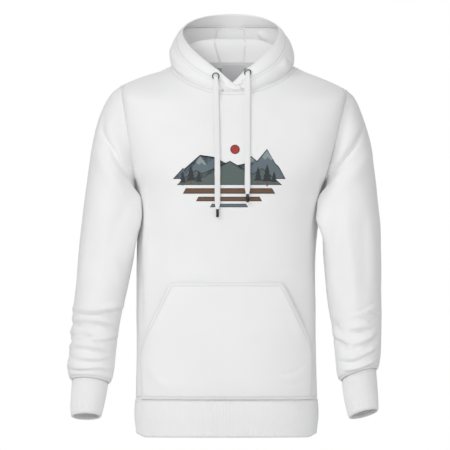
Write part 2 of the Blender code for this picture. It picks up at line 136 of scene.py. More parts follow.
SLEEVE_FOLDS = {
    "right": (
        Fold(((-236, -60), (-237, -100), (-222, -128), (-204, -152), (-188, -170)), 3.2, 13, 0, FRONT),
        Fold(((-264, -110), (-257, -150), (-240, -186), (-214, -214), (-192, -226)), 3.5, 13, 0, FRONT),
        Fold(((-196, -232), (-216, -262), (-232, -300), (-238, -345)), -2.6, 12, 0, FRONT),
        Fold(((-240, -330), (-226, -372), (-212, -416)), 3.4, 9, 0, FRONT),
        Fold(((-282, -260), (-290, -330), (-296, -400)), 2.2, 11, 0, FRONT),
        Fold(((-320, -452), (-276, -455), (-236, -450), (-210, -446)), 8.8, 6.4, -1, ROUND),
        Fold(((-322, -476), (-286, -473), (-252, -478), (-226, -488)), 6.4, 5.6, -1, ROUND),
        Fold(((-324, -500), (-296, -499), (-262, -503)), 6.0, 5.6, -1, ROUND),
        Fold(((-282, -512), (-250, -511), (-222, -505)), 5.6, 4.8, -1, ROUND),
        Fold(((-326, -528), (-300, -524), (-270, -529), (-240, -534)), 6.4, 5.6, -1, ROUND),
        Fold(((-300, -548), (-268, -551), (-236, -546)), 4.9, 4.8, -1, ROUND),
        Fold(((-326, -566), (-300, -569), (-262, -568), (-234, -574)), 5.3, 5.6, -1, ROUND),
        Fold(((-326, -470), (-306, -486), (-276, -492), (-250, -486)), -4.5, 5.5, 0, FRONT),
        Fold(((-322, -512), (-300, -508), (-276, -520), (-256, -540)), 4.6, 6.0, 1, FRONT),
        Fold(((-330, -540), (-312, -552), (-284, -560), (-256, -556)), -4.0, 5.5, 0, FRONT),
        Fold(((-262, -440), (-240, -462), (-226, -480)), -3.6, 6.0, 0, FRONT),
        Fold(((-330, -512), (-327, -516), (-318, -520)), -5.0, 7.0, 0, ROUND),
        Fold(((-196, -250), (-214, -290), (-224, -340)), 4.0, 12, 0, BACK),
        Fold(((-250, -50), (-246, -110), (-222, -160), (-194, -196)), -4.5, 10, 0, BACK),
        Fold(((-262, -120), (-236, -190), (-196, -226)), 3.0, 13, 0, BACK),
    ),
    "left": (
        Fold(((252, -66), (246, -104), (228, -134), (208, -162), (194, -180)), 3.2, 13, 0, FRONT),
        Fold(((283, -112), (272, -150), (250, -182), (222, -210), (196, -226)), 3.6, 13, 0, FRONT),
        Fold(((240, -210), (234, -270), (240, -340), (250, -420), (258, -480)), 3.6, 12, 0, FRONT),
        Fold(((214, -240), (212, -300), (218, -380), (228, -450)), -2.8, 10, 0, FRONT),
        Fold(((266, -250), (270, -330), (274, -420)), -2.0, 11, 0, FRONT),
        Fold(((282, -240), (286, -330), (288, -430)), 2.4, 12, 0, FRONT),
        Fold(((236, -492), (262, -489), (292, -482)), 7.7, 5.6, -1, ROUND),
        Fold(((242, -524), (266, -516), (294, -500)), 7.0, 5.6, -1, ROUND),
        Fold(((208, -500), (226, -512), (244, -520)), 5.3, 5.6, -1, ROUND),
        Fold(((216, -548), (244, -551), (272, -540), (300, -524)), 5.6, 5.6, -1, ROUND),
        Fold(((300, -470), (272, -466), (250, -462)), 4.5, 6.4, -1, ROUND),
        Fold(((222, -572), (250, -571), (280, -559), (300, -548)), 4.9, 4.8, -1, ROUND),
        Fold(((232, -470), (262, -462), (286, -450), (298, -440)), 4.2, 5.5, 1, FRONT),
        Fold(((252, -500), (272, -488), (294, -470)), -4.6, 5.5, 0, FRONT),
        Fold(((262, -540), (284, -520), (302, -505)), -4.2, 5.5, 0, FRONT),
        Fold(((216, -520), (236, -534), (262, -536)), -3.6, 6.0, 0, FRONT),
        Fold(((206, -470), (216, -490), (232, -504)), -3.4, 6.0, 0, FRONT),
        Fold(((200, -250), (214, -290), (226, -340)), 4.0, 12, 0, BACK),
        Fold(((268, -60), (262, -110), (232, -160), (198, -196)), -4.5, 10, 0, BACK),
        Fold(((276, -120), (244, -190), (200, -226)), 3.0, 13, 0, BACK),
    ),
}

# The crease in front of each armpit, which runs on across the seam
CREASES = (
    Fold(
        ((-252, -50), (-253, -84), (-250, -104), (-235, -131), (-222, -157), (-206, -181), (-192, -196),
         (-184, -222), (-178, -250)), -9.0, 5.5, 0, FRONT,
    ),
    Fold(
        ((271, -60), (270, -84), (262, -104), (248, -128), (235, -147), (213, -176), (196, -199),
         (186, -224), (180, -252)), -9.0, 5.5, 0, FRONT,
    ),
)
BODY_FOLDS = (
    Fold(((-176, -190), (-168, -232), (-162, -300), (-163, -400)), 2.6, 9, 0, FRONT),
    Fold(((192, -200), (182, -235), (175, -270), (170, -330), (170, -420)), -4.0, 9, 0, FRONT),
    Fold(((-22, -24), (-15, -44), (-6, -66)), 2.4, 9, 0, FRONT),
    Fold(((-120, -62), (-160, -110), (-184, -160)), 1.8, 20, 0, FRONT),
    Fold(((128, -58), (166, -106), (190, -160)), 1.8, 20, 0, FRONT),
    Fold(((60, -40), (90, -70), (130, -96)), 1.6, 14, 0, FRONT),
    Fold(((-170, -560), (-120, -585), (-60, -600)), 1.6, 12, 0, FRONT),
    Fold(((168, -540), (150, -590), (120, -618)), 2.2, 10, 0, FRONT),
    Fold(((-186, -190), (-150, -250), (-90, -300)), 2.6, 20, 0, BACK),
    Fold(((188, -190), (150, -250), (90, -300)), 2.6, 20, 0, BACK),
    Fold(((-110, -60), (0, -96), (110, -60)), 2.2, 16, 0, BACK),
    Fold(((-172, -420), (-60, -470), (60, -462), (168, -430)), 2.0, 18, 0, BACK),
    Fold(((-172, -560), (-80, -590), (70, -596), (168, -566)), 2.2, 14, 0, BACK),
)
POCKET_FOLDS = (
    Fold(((-112, -404), (-140, -470), (-164, -536)), 1.8, 7, 0, FRONT),
    Fold(((100, -404), (128, -462), (152, -528)), 1.8, 7, 0, FRONT),
    Fold(((164, -560), (140, -584), (112, -592), (88, -590)), 1.3, 8, -1, FRONT),
    Fold(((156, -600), (136, -610), (112, -612)), 1.0, 6, -1, FRONT),
    Fold(((-166, -560), (-140, -596), (-104, -616)), 2.0, 9, 0, FRONT),
)
HOOD_FOLDS = (
    Fold(((62, 108), (68, 98), (74, 86)), -4.0, 6, 0, BACK),
    Fold(((108, 98), (114, 80), (118, 64)), 3.2, 6, -1, ROUND),
    Fold(((80, 62), (100, 50), (124, 34)), 3.4, 7, 1, ROUND),
    Fold(((92, 42), (106, 36), (124, 22)), 2.6, 6, 0, ROUND),
    Fold(((-118, 80), (-112, 52), (-96, 30)), 2.6, 8, 0, ROUND),
    Fold(((-124, 40), (-104, 24), (-80, 8)), 2.2, 7, 1, ROUND),
    Fold(((-70, 90), (-58, 60), (-56, 36)), 1.8, 8, 0, FRONT),
    Fold(((-84, -20), (-40, -36), (0, -40)), 3.0, 10, 0, BACK),
    Fold(((84, -16), (46, -34), (6, -40)), 3.0, 10, 0, BACK),
    Fold(((-90, 20), (-60, 6), (-36, 2)), 2.4, 9, 0, BACK),
    Fold(((92, 24), (62, 10), (38, 4)), 2.4, 9, 0, BACK),
)

# The middle of each free end, from its eyelet down, as in the CAD
CORD_ROUTES = {
    "right": (
        (-0.0273, -0.0963, 0.0136), (-0.0273, -0.1002, 0.0125), (-0.0272, -0.1030, 0.0100),
        (-0.0270, -0.1042, 0.0050), (-0.0268, -0.1038, -0.0020), (-0.0267, -0.1032, -0.0110),
        (-0.0266, -0.1034, -0.0220), (-0.0264, -0.1050, -0.0340), (-0.0262, -0.1084, -0.0470),
        (-0.0259, -0.1124, -0.0600), (-0.0255, -0.1178, -0.0800), (-0.0251, -0.1225, -0.1000),
        (-0.0247, -0.1263, -0.1200), (-0.0244, -0.1292, -0.1400), (-0.0242, -0.1315, -0.1600),
        (-0.0241, -0.1330, -0.1800), (-0.0240, -0.1336, -0.2000), (-0.0240, -0.1336, -0.2200),
        (-0.0240, -0.1334, -0.2380), (-0.0240, -0.1333, -0.2520),
    ),
    "left": (
        (0.0378, -0.0903, 0.0207), (0.0369, -0.0943, 0.0206), (0.0364, -0.0978, 0.0186),
        (0.0363, -0.1000, 0.0148), (0.0363, -0.1012, 0.0080), (0.0363, -0.1014, -0.0010),
        (0.0363, -0.1014, -0.0110), (0.0363, -0.1024, -0.0220), (0.0362, -0.1046, -0.0340),
        (0.0362, -0.1084, -0.0470), (0.0361, -0.1125, -0.0600), (0.0361, -0.1177, -0.0800),
        (0.0360, -0.1224, -0.1000), (0.0360, -0.1262, -0.1200), (0.0360, -0.1290, -0.1400),
        (0.0360, -0.1313, -0.1600), (0.0360, -0.1327, -0.1800), (0.0360, -0.1332, -0.2000),
        (0.0360, -0.1331, -0.2220),
    ),
}
SIGN = {"right": -1, "left": 1}

# Points of the casing's ends, in mm: about where they are in the CAD, and where they go, so that the ends
# cross as on the real hood
V_ENDS = (
    ((2, -93, 6), (3.6, -95.0, 1.6)),
    ((18, -92, 14), (20.0, -95.5, -9.0)),
    ((20, -98, 6), (15.0, -97.5, -11.6)),
    ((22, -99, -1), (9.0, -98.5, -13.4)),
    ((1, -100, -5), (-4.0, -99.4, -8.0)),
    ((10, -87, 6), (9.0, -87.4, 2.6)),
    ((-6, -86, 14), (-4.0, -86.6, -6.0)),
    ((-8, -92, 6), (-2.0, -91.0, -9.0)),
    ((-9, -93, -1), (0.0, -92.0, -12.0)),
)
V_REACH = 0.0012

# The body's armhole and neck edges, and the lines of stitches for each body or bend, as found while the
# cloth is made
armhole_edge = []
neck_edge = []
stitch_lines = {"torso": [], "right": [], "left": [], "right_cuff": [], "left_cuff": []}


class ClothSettings(bpy.types.PropertyGroup):
    fleece: bpy.props.FloatVectorProperty(
        name="Fleece", description="Colour of the fleece", subtype="COLOR", size=3,
        default=(0.925, 0.925, 0.928), min=0, max=1,
    )
    rib: bpy.props.FloatVectorProperty(
        name="Rib", description="Colour of the ribbed cuffs and hem", subtype="COLOR", size=3,
        default=(0.885, 0.885, 0.888), min=0, max=1,
    )
    fold_depth: bpy.props.FloatProperty(
        name="Fold depth", description="How strongly the cloth is folded", default=1.0, min=0, max=1.5
    )
    rib_pitch: bpy.props.FloatProperty(
        name="Rib pitch", description="Distance between two ribs", default=0.0038, unit="LENGTH"
    )
    rib_depth: bpy.props.FloatProperty(
        name="Rib depth", description="Height of a rib", default=0.0008, unit="LENGTH"
    )
    wale_pitch: bpy.props.FloatProperty(
        name="Wale pitch", description="Width of one column of knitting", default=0.0011, unit="LENGTH"
    )


class TrimSettings(bpy.types.PropertyGroup):
    cord_width: bpy.props.FloatProperty(
        name="Cord width", description="Width of the flat drawcord", default=0.0112, unit="LENGTH"
    )
    cord_thickness: bpy.props.FloatProperty(
        name="Cord thickness", description="Thickness of the drawcord", default=0.0034, unit="LENGTH"
    )
    cord: bpy.props.FloatVectorProperty(
        name="Cord", description="Colour of the drawcord", subtype="COLOR", size=3,
        default=(0.93, 0.93, 0.93), min=0, max=1,
    )
    label: bpy.props.FloatVectorProperty(
        name="Label", description="Colour of the blank neck label", subtype="COLOR", size=3,
        default=(0.70, 0.70, 0.71), min=0, max=1,
    )
    metal: bpy.props.FloatVectorProperty(
        name="Metal", description="Colour of the eyelets and cord tips", subtype="COLOR", size=3,
        default=(0.10, 0.10, 0.105), min=0, max=1,
    )


class PrintSettings(bpy.types.PropertyGroup):
    middle: bpy.props.FloatVectorProperty(
        name="Middle", description="Middle of the print, across and up", size=2, subtype="XYZ",
        default=(-0.001, -0.186), unit="LENGTH",
    )
    scale: bpy.props.FloatProperty(
        name="Scale", description="Size of the print", default=1.0, min=0.3, max=1.3
    )


def settings():
    return bpy.context.scene.sweatshirt_cloth


def deselect():
    if bpy.context.mode != "OBJECT":
        bpy.ops.object.mode_set(mode="OBJECT")
    bpy.ops.object.select_all(action="DESELECT")


def pick(piece):
    deselect()
    piece.select_set(True)
    bpy.context.view_layer.objects.active = piece


def add_piece(name, mesh):
    piece = bpy.data.objects.new(name, mesh)
    bpy.context.scene.collection.objects.link(piece)
    return piece


def apply_modifier(piece, kind, **values):
    pick(piece)
    modifier = piece.modifiers.new("Shape", kind)
    for name, value in values.items():
        setattr(modifier, name, value)
    bpy.ops.object.modifier_apply(modifier=modifier.name)


def subdivide(piece, levels):
    apply_modifier(
        piece, "SUBSURF", levels=levels, render_levels=levels, boundary_smooth="PRESERVE_CORNERS"
    )


def smooth_step(low, high, value):
    share = np.clip((value - low) / (high - low), 0.0, 1.0)
    return share * share * (3 - 2 * share)


def through(points, share):
    """The smooth curve through these points, at a share of its length in points."""
    place = min(max(share, 0.0), 1.0) * (len(points) - 1)
    index = min(int(place), len(points) - 2)
    t = place - index
    here, there = points[index], points[index + 1]
    before = points[index - 1] if index else here * 2 - there
    after = points[index + 2] if index + 2 < len(points) else there * 2 - here
    return (
        here * 2
        + (there - before) * t
        + (before * 2 - here * 5 + there * 4 - after) * t**2
        + (here * 3 - before - there * 3 + after) * t**3
    ) / 2


def places(mesh):
    co = np.empty(len(mesh.vertices) * 3)
    mesh.vertices.foreach_get("co", co)
    return co.reshape(-1, 3)


def outwards(mesh):
    normals = np.empty(len(mesh.vertices) * 3)
    mesh.vertices.foreach_get("normal", normals)
    return normals.reshape(-1, 3)


def set_places(mesh, co):
    mesh.vertices.foreach_set("co", co.ravel())
    mesh.update()


def tree_of(points):
    """What finds the nearest of these points."""
    tree = KDTree(len(points))
    for index, point in enumerate(points):
        tree.insert(point, index)
    tree.balance()
    return tree


def surface_of(mesh):
    """What finds the nearest place on a mesh, or where a ray meets it."""
    return BVHTree.FromPolygons([v.co for v in mesh.vertices], [list(f.vertices) for f in mesh.polygons])


def turn_outwards(mesh):
    bm = bmesh.new()
    bm.from_mesh(mesh)
    bmesh.ops.recalc_face_normals(bm, faces=bm.faces)
    bm.to_mesh(mesh)
    bm.free()


def sides_of_shell(bm, thickness, limit):
    """A shell's faces in groups, parted at sharp edges of its thin walls, the largest group last."""
    thin = {f for f in bm.faces if min(e.calc_length() for e in f.edges) < 1.05 * thickness}
    sides, seen = [], set()
    for start in bm.faces:
        if start in seen:
            continue
        side, waiting = [], [start]
        seen.add(start)
        while waiting:
            face = waiting.pop()
            side.append(face)
            for edge in face.edges:
                across = next(f for f in edge.link_faces if f is not face)
                wall = face in thin or across in thin
                if across in seen or (wall and edge.calc_face_angle() > math.radians(limit)):
                    continue
                seen.add(across)
                waiting.append(across)
        sides.append(side)
    return sorted(sides, key=len)


def outer_face(node, name, thickness):
    """The outer face of a CAD shell, as an open sheet of quads."""
    for limit in (60, 55, 50):
        bm = bmesh.new()
        bm.from_mesh(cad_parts[node].data)
        bmesh.ops.remove_doubles(bm, verts=bm.verts, dist=WELD)
        sides = sides_of_shell(bm, thickness, limit)
        if len(sides[-1]) == len(sides[-2]):
            break
        bm.free()
    else:
        raise RuntimeError(f"{node} doesn't come apart into two faces")
    kept = set(max(sides[-2:], key=lambda side: sum(face.calc_area() for face in side)))
    bmesh.ops.delete(bm, geom=[f for f in bm.faces if f not in kept], context="FACES")
    bmesh.ops.join_triangles(
        bm, faces=bm.faces, angle_face_threshold=math.pi, angle_shape_threshold=math.pi
    )
    mesh = bpy.data.meshes.new(name)
    bm.to_mesh(mesh)
    bm.free()
    return add_piece(name, mesh)


def meet_neighbours(mesh, reach, wanted=None):
    """Moves a sheet's open edges, or those wanted, outwards within it, so that sewn pieces touch."""
    bm = bmesh.new()
    bm.from_mesh(mesh)
    moves = {}
    for vert in bm.verts:
        inner = [e.other_vert(vert).co for e in vert.link_edges if not e.is_boundary]
        if vert.is_boundary and inner and (wanted is None or wanted(vert.co)):
            away = vert.co - sum(inner, Vector()) / len(inner)
            moves[vert] = away.normalized() * reach
    for vert, move in moves.items():
        vert.co += move
    bm.to_mesh(mesh)
    bm.free()


def edge_points(mesh, wanted=None):
    """The vertices on a sheet's open edges, those that wanted says if it is given."""
    bm = bmesh.new()
    bm.from_mesh(mesh)
    found = [v.co.copy() for v in bm.verts if v.is_boundary]
    bm.free()
    return [p for p in found if wanted is None or wanted(p)]


def edge_line(mesh):
    """Close-set points along a sheet's open edges."""
    bm = bmesh.new()
    bm.from_mesh(mesh)
    found = []
    for edge in bm.edges:
        if edge.is_boundary:
            first, last = (v.co for v in edge.verts)
            found += [first.lerp(last, share / 5) for share in range(5)]
    bm.free()
    return found


def sew_to(co, ends, line):
    """Brings the edge points that ends gives onto a neighbour's edge, and the cloth near them along."""
    neighbour, own = tree_of(line), tree_of(ends)
    moves = [neighbour.find(point)[0] - point for point in ends]
    for index, place in enumerate(co):
        found = own.find_n(place, 3)
        away = found[0][2]
        if away < SEWN_REACH:
            shares = [1 / (distance + 1e-5) for _, _, distance in found]
            pulls = (moves[end] * share for (_, end, _), share in zip(found, shares))
            move = sum(pulls, Vector()) / sum(shares)
            co[index] += np.array(move) * float(1 - smooth_step(0.0, SEWN_REACH, np.array(away)))


def distance_to(points, co):
    if not points:
        return np.full(len(co), 1.0)
    tree = tree_of(points)
    return np.array([tree.find(p)[2] for p in co])


def fold_line(points):
    """Close-set points on the smooth line through a fold's points."""
    points = [Vector((*point, 0)) for point in points]
    return np.array([through(points, share).xy for share in np.linspace(0, 1, 8 * len(points))])


def fold_heights(co, folds):
    """How far each point is lifted by the folds, in metres."""
    seen, depth = co[:, [0, 2]] / MM, co[:, 1] / MM
    height = np.zeros(len(co))
    for fold in folds:
        line = fold_line(fold.points)
        steps = line[1:] - line[:-1]
        lengths = np.linalg.norm(steps, axis=1)
        travelled = np.concatenate([[0], np.cumsum(lengths)])
        nearest = np.full(len(co), 1e9)
        side, along = np.zeros(len(co)), np.zeros(len(co))
        for gone, start, step, length in zip(travelled, line, steps, lengths):
            off = seen - start
            t = np.clip(off @ step / length**2, 0, 1)
            away = off - t[:, None] * step
            distance = np.linalg.norm(away, axis=1)
            closer = distance < nearest
            nearest = np.where(closer, distance, nearest)
            side = np.where(closer, np.sign(step[0] * off[:, 1] - step[1] * off[:, 0]), side)
            along = np.where(closer, (gone + t * length) / travelled[-1], along)
        across = nearest * side / fold.width
        profile = np.exp(-(across**2))
        if fold.lean:
            profile -= TUCK_DEPTH * np.exp(-(((across - TUCK_PLACE * fold.lean) / TUCK_SPREAD) ** 2))
        low, high = fold.reach
        fade = smooth_step(0.0, FADE, along) * (1 - smooth_step(1 - FADE, 1.0, along))
        fade *= smooth_step(low, low + REACH_BLEND, depth)
        fade *= 1 - smooth_step(high - REACH_BLEND, high, depth)
        height += fold.depth * MM * profile * (FAINT + (1 - FAINT) * fade) * (fade > 0)
    return height


# A slow unevenness as sums of waves: waves per metre along X, Y and Z, phase and height
RIPPLES = (
    ((31, 12, 9), 0.7, 0.00050), ((-14, 22, 26), 2.1, 0.00045), ((52, -30, 18), 4.0, 0.00028),
    ((-38, 41, -44), 1.3, 0.00022), ((16, 61, 70), 5.2, 0.00016), ((92, 18, -64), 0.2, 0.00012),
)


def ripples(co):
    """The unevenness of cloth that hangs free."""
    height = np.zeros(len(co))
    for waves, phase, size in RIPPLES:
        height += size * np.sin(co @ np.array(waves, float) + phase)
    return height


def unroll(piece, middle, reach):
    """A UV map in metres that runs round and up a piece, for the knitting's columns and rows."""
    mesh = piece.data
    co = places(mesh)
    centre = middle(co)
    turn = np.arctan2(co[:, 0] - centre[:, 0], -(co[:, 1] - centre[:, 1]))
    if reach < 0:
        turn = np.arctan2(co[:, 0] - centre[:, 0], co[:, 1] - centre[:, 1])
    loops = np.empty(len(mesh.loops), np.int32)
    mesh.loops.foreach_get("vertex_index", loops)
    around = turn[loops].reshape(-1, 4)
    torn = (around.max(1) - around.min(1)) > math.pi
    around[torn] = np.where(around[torn] < 0, around[torn] + 2 * math.pi, around[torn])
    uv = np.stack([around.ravel() * abs(reach), co[loops][:, 2]], axis=1)
    layer = mesh.uv_layers.new(name="Grain")
    layer.data.foreach_set("uv", uv.ravel())


def set_value(mesh, name, values):
    attribute = mesh.attributes.new(name, "FLOAT", "POINT")
    attribute.data.foreach_set("value", np.asarray(values, np.float32))


def crossings(mesh, field, level):
    """Where a sheet's edges cross the level, and which of these crossings share a face."""
    co, out = places(mesh), outwards(mesh)
    links, spots = {}, {}
    for face in mesh.polygons:
        corners = list(face.vertices)
        values = [field[v] - level for v in corners]
        if min(values) > 0 or max(values) <= 0:
            continue
        crossed = []
        ahead = zip(corners[1:] + corners[:1], values[1:] + values[:1])
        for (a, va), (b, vb) in zip(zip(corners, values), ahead):
            if (va > 0) == (vb > 0):
                continue
            key = (min(a, b), max(a, b))
            share = va / (va - vb)
            spots[key] = (co[a] + (co[b] - co[a]) * share, out[a] + (out[b] - out[a]) * share)
            crossed.append(key)
        if len(crossed) == 2:
            links.setdefault(crossed[0], []).append(crossed[1])
            links.setdefault(crossed[1], []).append(crossed[0])
    return links, spots


def contours(mesh, field, level):
    """The lines on a sheet where field is level, each as a list of (place, outward)."""
    links, spots = crossings(mesh, field, level)
    lines, used = [], set()
    for start in sorted(links, key=lambda key: (len(links[key]), key)):
        if start in used:
            continue
        line, here = [], start
        while here is not None:
            used.add(here)
            line.append(spots[here])
            here = next((key for key in links[here] if key not in used), None)
        if len(line) > 3:
            lines.append(line)
    return lines


def thin_at(piece, co, rolls, thickness):
    """How much thinner the cloth is at its rolled edges, also kept as a group for the thickening."""
    thinner = np.zeros(len(co))
    for wanted, depth, width in rolls:
        away = distance_to(edge_points(piece.data, wanted), co)
        thinner = np.maximum(thinner, depth * np.sqrt(np.clip(1 - away / width, 0, 1)) ** 3)
    if rolls:
        group = piece.vertex_groups.new(name="Fullness")
        for index, share in enumerate(1 - thinner / thickness):
            group.add([index], float(share), "REPLACE")
    return thinner


def cloth(node, name, thickness, folds=(), seams=(), lines="torso", calm=0.012, ripple=1.0,
          tuck=0.0003, rolls=(), shape=None, drape=None, sewn=None, line=()):
    """A cloth piece on its CAD shell.

    A seam is what picks its points on the edges, and how far in its rows of stitches lie. A roll is what
    picks its points, how far the cloth thins there, and how wide. The edge points that sewn picks are
    brought onto line, a neighbour's edge.
    """
    piece = outer_face(node, name, thickness)
    mesh = piece.data
    if shape:
        shape(mesh)
    subdivide(piece, CLOTH_LEVELS)
    meet_neighbours(mesh, SEAM_REACH)
    co = places(mesh)
    from_edge = distance_to(edge_points(mesh), co)
    if drape:
        co += drape(co, from_edge)
        set_places(mesh, co)
    out, before = outwards(mesh), co.copy()
    height = fold_heights(co, folds) * settings().fold_depth + ripples(co) * ripple
    height *= smooth_step(0.0, calm, from_edge)
    height -= tuck * np.exp(-((from_edge / TUCK_WIDTH) ** 2))
    height -= thin_at(piece, co, rolls, thickness)
    stitched, nearest = np.full(len(co), 1.0), np.full(len(co), 1.0)
    found = []
    for wanted, rows in seams:
        away = distance_to(edge_points(mesh, wanted), co)
        shown = away if len(rows) > 1 else FAR_SEAM + away - rows[0]
        stitched = np.where(away < nearest, shown, stitched)
        nearest = np.minimum(nearest, away)
        found += [(away, row) for row in rows]
    ends = edge_points(mesh, sewn) if sewn else []
    co += out * height[:, None]
    if ends:
        flat = tree_of(before)
        sew_to(co, [Vector(co[flat.find(point)[1]]) for point in ends], line)
    set_places(mesh, co)
    set_value(mesh, "seam_distance", stitched)
    for away, row in found:
        stitch_lines[lines].extend(contours(mesh, away, row))
    return piece


def thicken(piece, thickness, finish, node):
    apply_modifier(
        piece, "SOLIDIFY", thickness=thickness, offset=-1.0, use_quality_normals=True, use_rim=True,
        vertex_group="Fullness" if piece.vertex_groups else "",
    )
    piece.vertex_groups.clear()
    piece.data.materials.clear()
    piece.data.materials.append(finish)
    pick(piece)
    bpy.ops.object.shade_smooth_by_angle(angle=math.radians(60))
    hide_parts(node)


def finish_fleece(piece, node, reach, middle=None, thickness=FLEECE):
    """Gives a cloth piece its grain and thickness, and returns its edges as they were before."""
    unroll(piece, middle or on_torso, reach)
    edge = edge_line(piece.data)
    thicken(piece, thickness, finish_of("fleece"), node)
    return edge


def bend_with_sleeve(piece):
    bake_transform(piece)


# Materials


def node_group(name, inputs, outputs):
    group = bpy.data.node_groups.new(name, "ShaderNodeTree")
    for label, kind in inputs:
        group.interface.new_socket(label, in_out="INPUT", socket_type=kind)
    for label, kind in outputs:
        group.interface.new_socket(label, in_out="OUTPUT", socket_type=kind)
    return group, group.nodes.new("NodeGroupInput"), group.nodes.new("NodeGroupOutput")


def add(tree, kind, **values):
    node = tree.nodes.new(kind)
    for name, value in values.items():
        if hasattr(node, name):
            setattr(node, name, value)
        else:
            node.inputs[name.replace("_", " ")].default_value = value
    return node


def math_node(tree, operation, first, second=None):
    node = tree.nodes.new("ShaderNodeMath")
    node.operation = operation
    for socket, value in zip(node.inputs, (first, second)):
        if value is None:
            continue
        if isinstance(value, (int, float)):
            socket.default_value = value
        else:
            tree.links.new(value, socket)
    return node.outputs[0]


def times(tree, first, second):
    return math_node(tree, "MULTIPLY", first, second)


def plus(tree, first, second):
    return math_node(tree, "ADD", first, second)


def knit_group():
    """Columns of V-shaped loops, in metres of a UV map."""
    group, given, made = node_group(
        "Knitting",
        [("Vector", "NodeSocketVector"), ("Pitch", "NodeSocketFloat")],
        [("Height", "NodeSocketFloat")],
    )
    parts = group.nodes.new("ShaderNodeSeparateXYZ")
    group.links.new(given.outputs["Vector"], parts.inputs[0])
    wale = math_node(group, "DIVIDE", parts.outputs["X"], given.outputs["Pitch"])
    course = math_node(group, "DIVIDE", parts.outputs["Y"], given.outputs["Pitch"])
    column = math_node(group, "PINGPONG", wale, 0.5)
    slant = math_node(group, "SUBTRACT", times(group, course, 1.25), times(group, column, 1.6))
    loop = math_node(group, "PINGPONG", slant, 0.5)
    ridge = times(group, math_node(group, "SINE", times(group, column, 2 * math.pi)), 0.6)
    group.links.new(plus(group, loop, ridge), made.inputs["Height"])
    return group


def seam_group():
    """Two grooves that stitches pull into cloth, from the distance to a seam."""
    group, given, made = node_group(
        "Seam grooves",
        [(label, "NodeSocketFloat") for label in ("Distance", "First row", "Second row")],
        [("Height", "NodeSocketFloat")],
    )
    grooves = []
    for row in ("First row", "Second row"):
        off = math_node(group, "SUBTRACT", given.outputs["Distance"], given.outputs[row])
        near = math_node(group, "DIVIDE", math_node(group, "ABSOLUTE", off), GROOVE_WIDTH)
        grooves.append(math_node(group, "EXPONENT", times(group, times(group, near, near), -1)))
    group.links.new(plus(group, *grooves), made.inputs["Height"])
    return group


def fuzz_group():
    """Short raised fibres and a slow change of tone."""
    group, given, made = node_group(
        "Brushed fibres",
        [("Vector", "NodeSocketVector"), ("Scale", "NodeSocketFloat")],
        [("Height", "NodeSocketFloat"), ("Tone", "NodeSocketFloat")],
    )
    fine = add(group, "ShaderNodeTexNoise", Detail=3.0, Roughness=0.65)
    slow = add(group, "ShaderNodeTexNoise", Scale=9.0, Detail=2.0)
    group.links.new(given.outputs["Vector"], fine.inputs["Vector"])
    group.links.new(given.outputs["Scale"], fine.inputs["Scale"])
    group.links.new(given.outputs["Vector"], slow.inputs["Vector"])
    group.links.new(fine.outputs[0], made.inputs["Height"])
    group.links.new(slow.outputs[0], made.inputs["Tone"])
    return group


def group_node(tree, group, **values):
    node = tree.nodes.new("ShaderNodeGroup")
    node.node_tree = group
    for name, value in values.items():
        node.inputs[name.replace("_", " ")].default_value = value
    return node


def new_material(name, **sockets):
    """A material, its node tree and its shader, with these sockets of the shader set."""
    finish = bpy.data.materials.new(name)
    finish.use_nodes = True
    shader = finish.node_tree.nodes["Principled BSDF"]
    for socket, value in sockets.items():
        shader.inputs[socket.replace("_", " ")].default_value = value
    return finish, finish.node_tree, shader


def fibres_on(tree, groups, scale):
    """The brushed fibres, on Object coordinates."""
    place = tree.nodes.new("ShaderNodeTexCoord")
    fuzz = group_node(tree, groups["fuzz"], Scale=scale)
    tree.links.new(place.outputs["Object"], fuzz.inputs["Vector"])
    return fuzz


def two_tones(tree, colour, dark, light, share):
    """A colour that changes between a darker and a lighter tone of it."""
    paint = add(tree, "ShaderNodeMix", data_type="RGBA")
    paint.inputs["A"].default_value = (*[c * dark for c in colour], 1)
    paint.inputs["B"].default_value = (*[min(1, c * light) for c in colour], 1)
    tree.links.new(share, paint.inputs["Factor"])
    return paint.outputs["Result"]


def bumped(tree, height, depth, strength, normal=None, invert=False):
    bump = add(tree, "ShaderNodeBump", Distance=depth, Strength=strength, invert=invert)
    tree.links.new(height, bump.inputs["Height"])
    if normal:
        tree.links.new(normal, bump.inputs["Normal"])
    return bump.outputs[0]


def cloth_material(name, colour, groups, pitch, knit_depth=0.00016):
    """Knitted cloth, brushed, with grooves along its seams and painted shade in them."""
    finish, tree, shader = new_material(
        name, Roughness=0.94, Specular_IOR_Level=0.2, Sheen_Weight=0.18, Sheen_Roughness=0.55
    )
    grain = add(tree, "ShaderNodeUVMap", uv_map="Grain")
    knit = group_node(tree, groups["knit"], Pitch=pitch)
    fuzz = fibres_on(tree, groups, 900.0)
    seam = group_node(tree, groups["seam"], First_row=NEAR_SEAM, Second_row=FAR_SEAM)
    distance = add(tree, "ShaderNodeAttribute", attribute_name="seam_distance")
    tree.links.new(grain.outputs[0], knit.inputs["Vector"])
    tree.links.new(distance.outputs["Fac"], seam.inputs["Distance"])
    tone = plus(tree, times(tree, fuzz.outputs["Height"], 0.45), times(tree, fuzz.outputs["Tone"], 0.55))
    # Painted shade: the colour darkens towards 0.72 of itself in the two seam grooves where the stitches pull
    # the cloth in; the grooves are also given a real bump below
    painted_groove_shade = add(tree, "ShaderNodeMix", data_type="RGBA")
    painted_groove_shade.inputs["B"].default_value = (*[c * 0.72 for c in colour], 1)
    tree.links.new(two_tones(tree, colour, 0.94, 1.045, tone), painted_groove_shade.inputs["A"])
    tree.links.new(times(tree, seam.outputs["Height"], 0.35), painted_groove_shade.inputs["Factor"])
    tree.links.new(painted_groove_shade.outputs["Result"], shader.inputs["Base Color"])
    knitted = bumped(tree, knit.outputs["Height"], knit_depth, 0.8)
    brushed = bumped(tree, fuzz.outputs["Height"], 0.00022, 0.8, knitted)
    grooved = bumped(tree, seam.outputs["Height"], 0.0006, 0.9, brushed, invert=True)
    tree.links.new(grooved, shader.inputs["Normal"])
    return finish


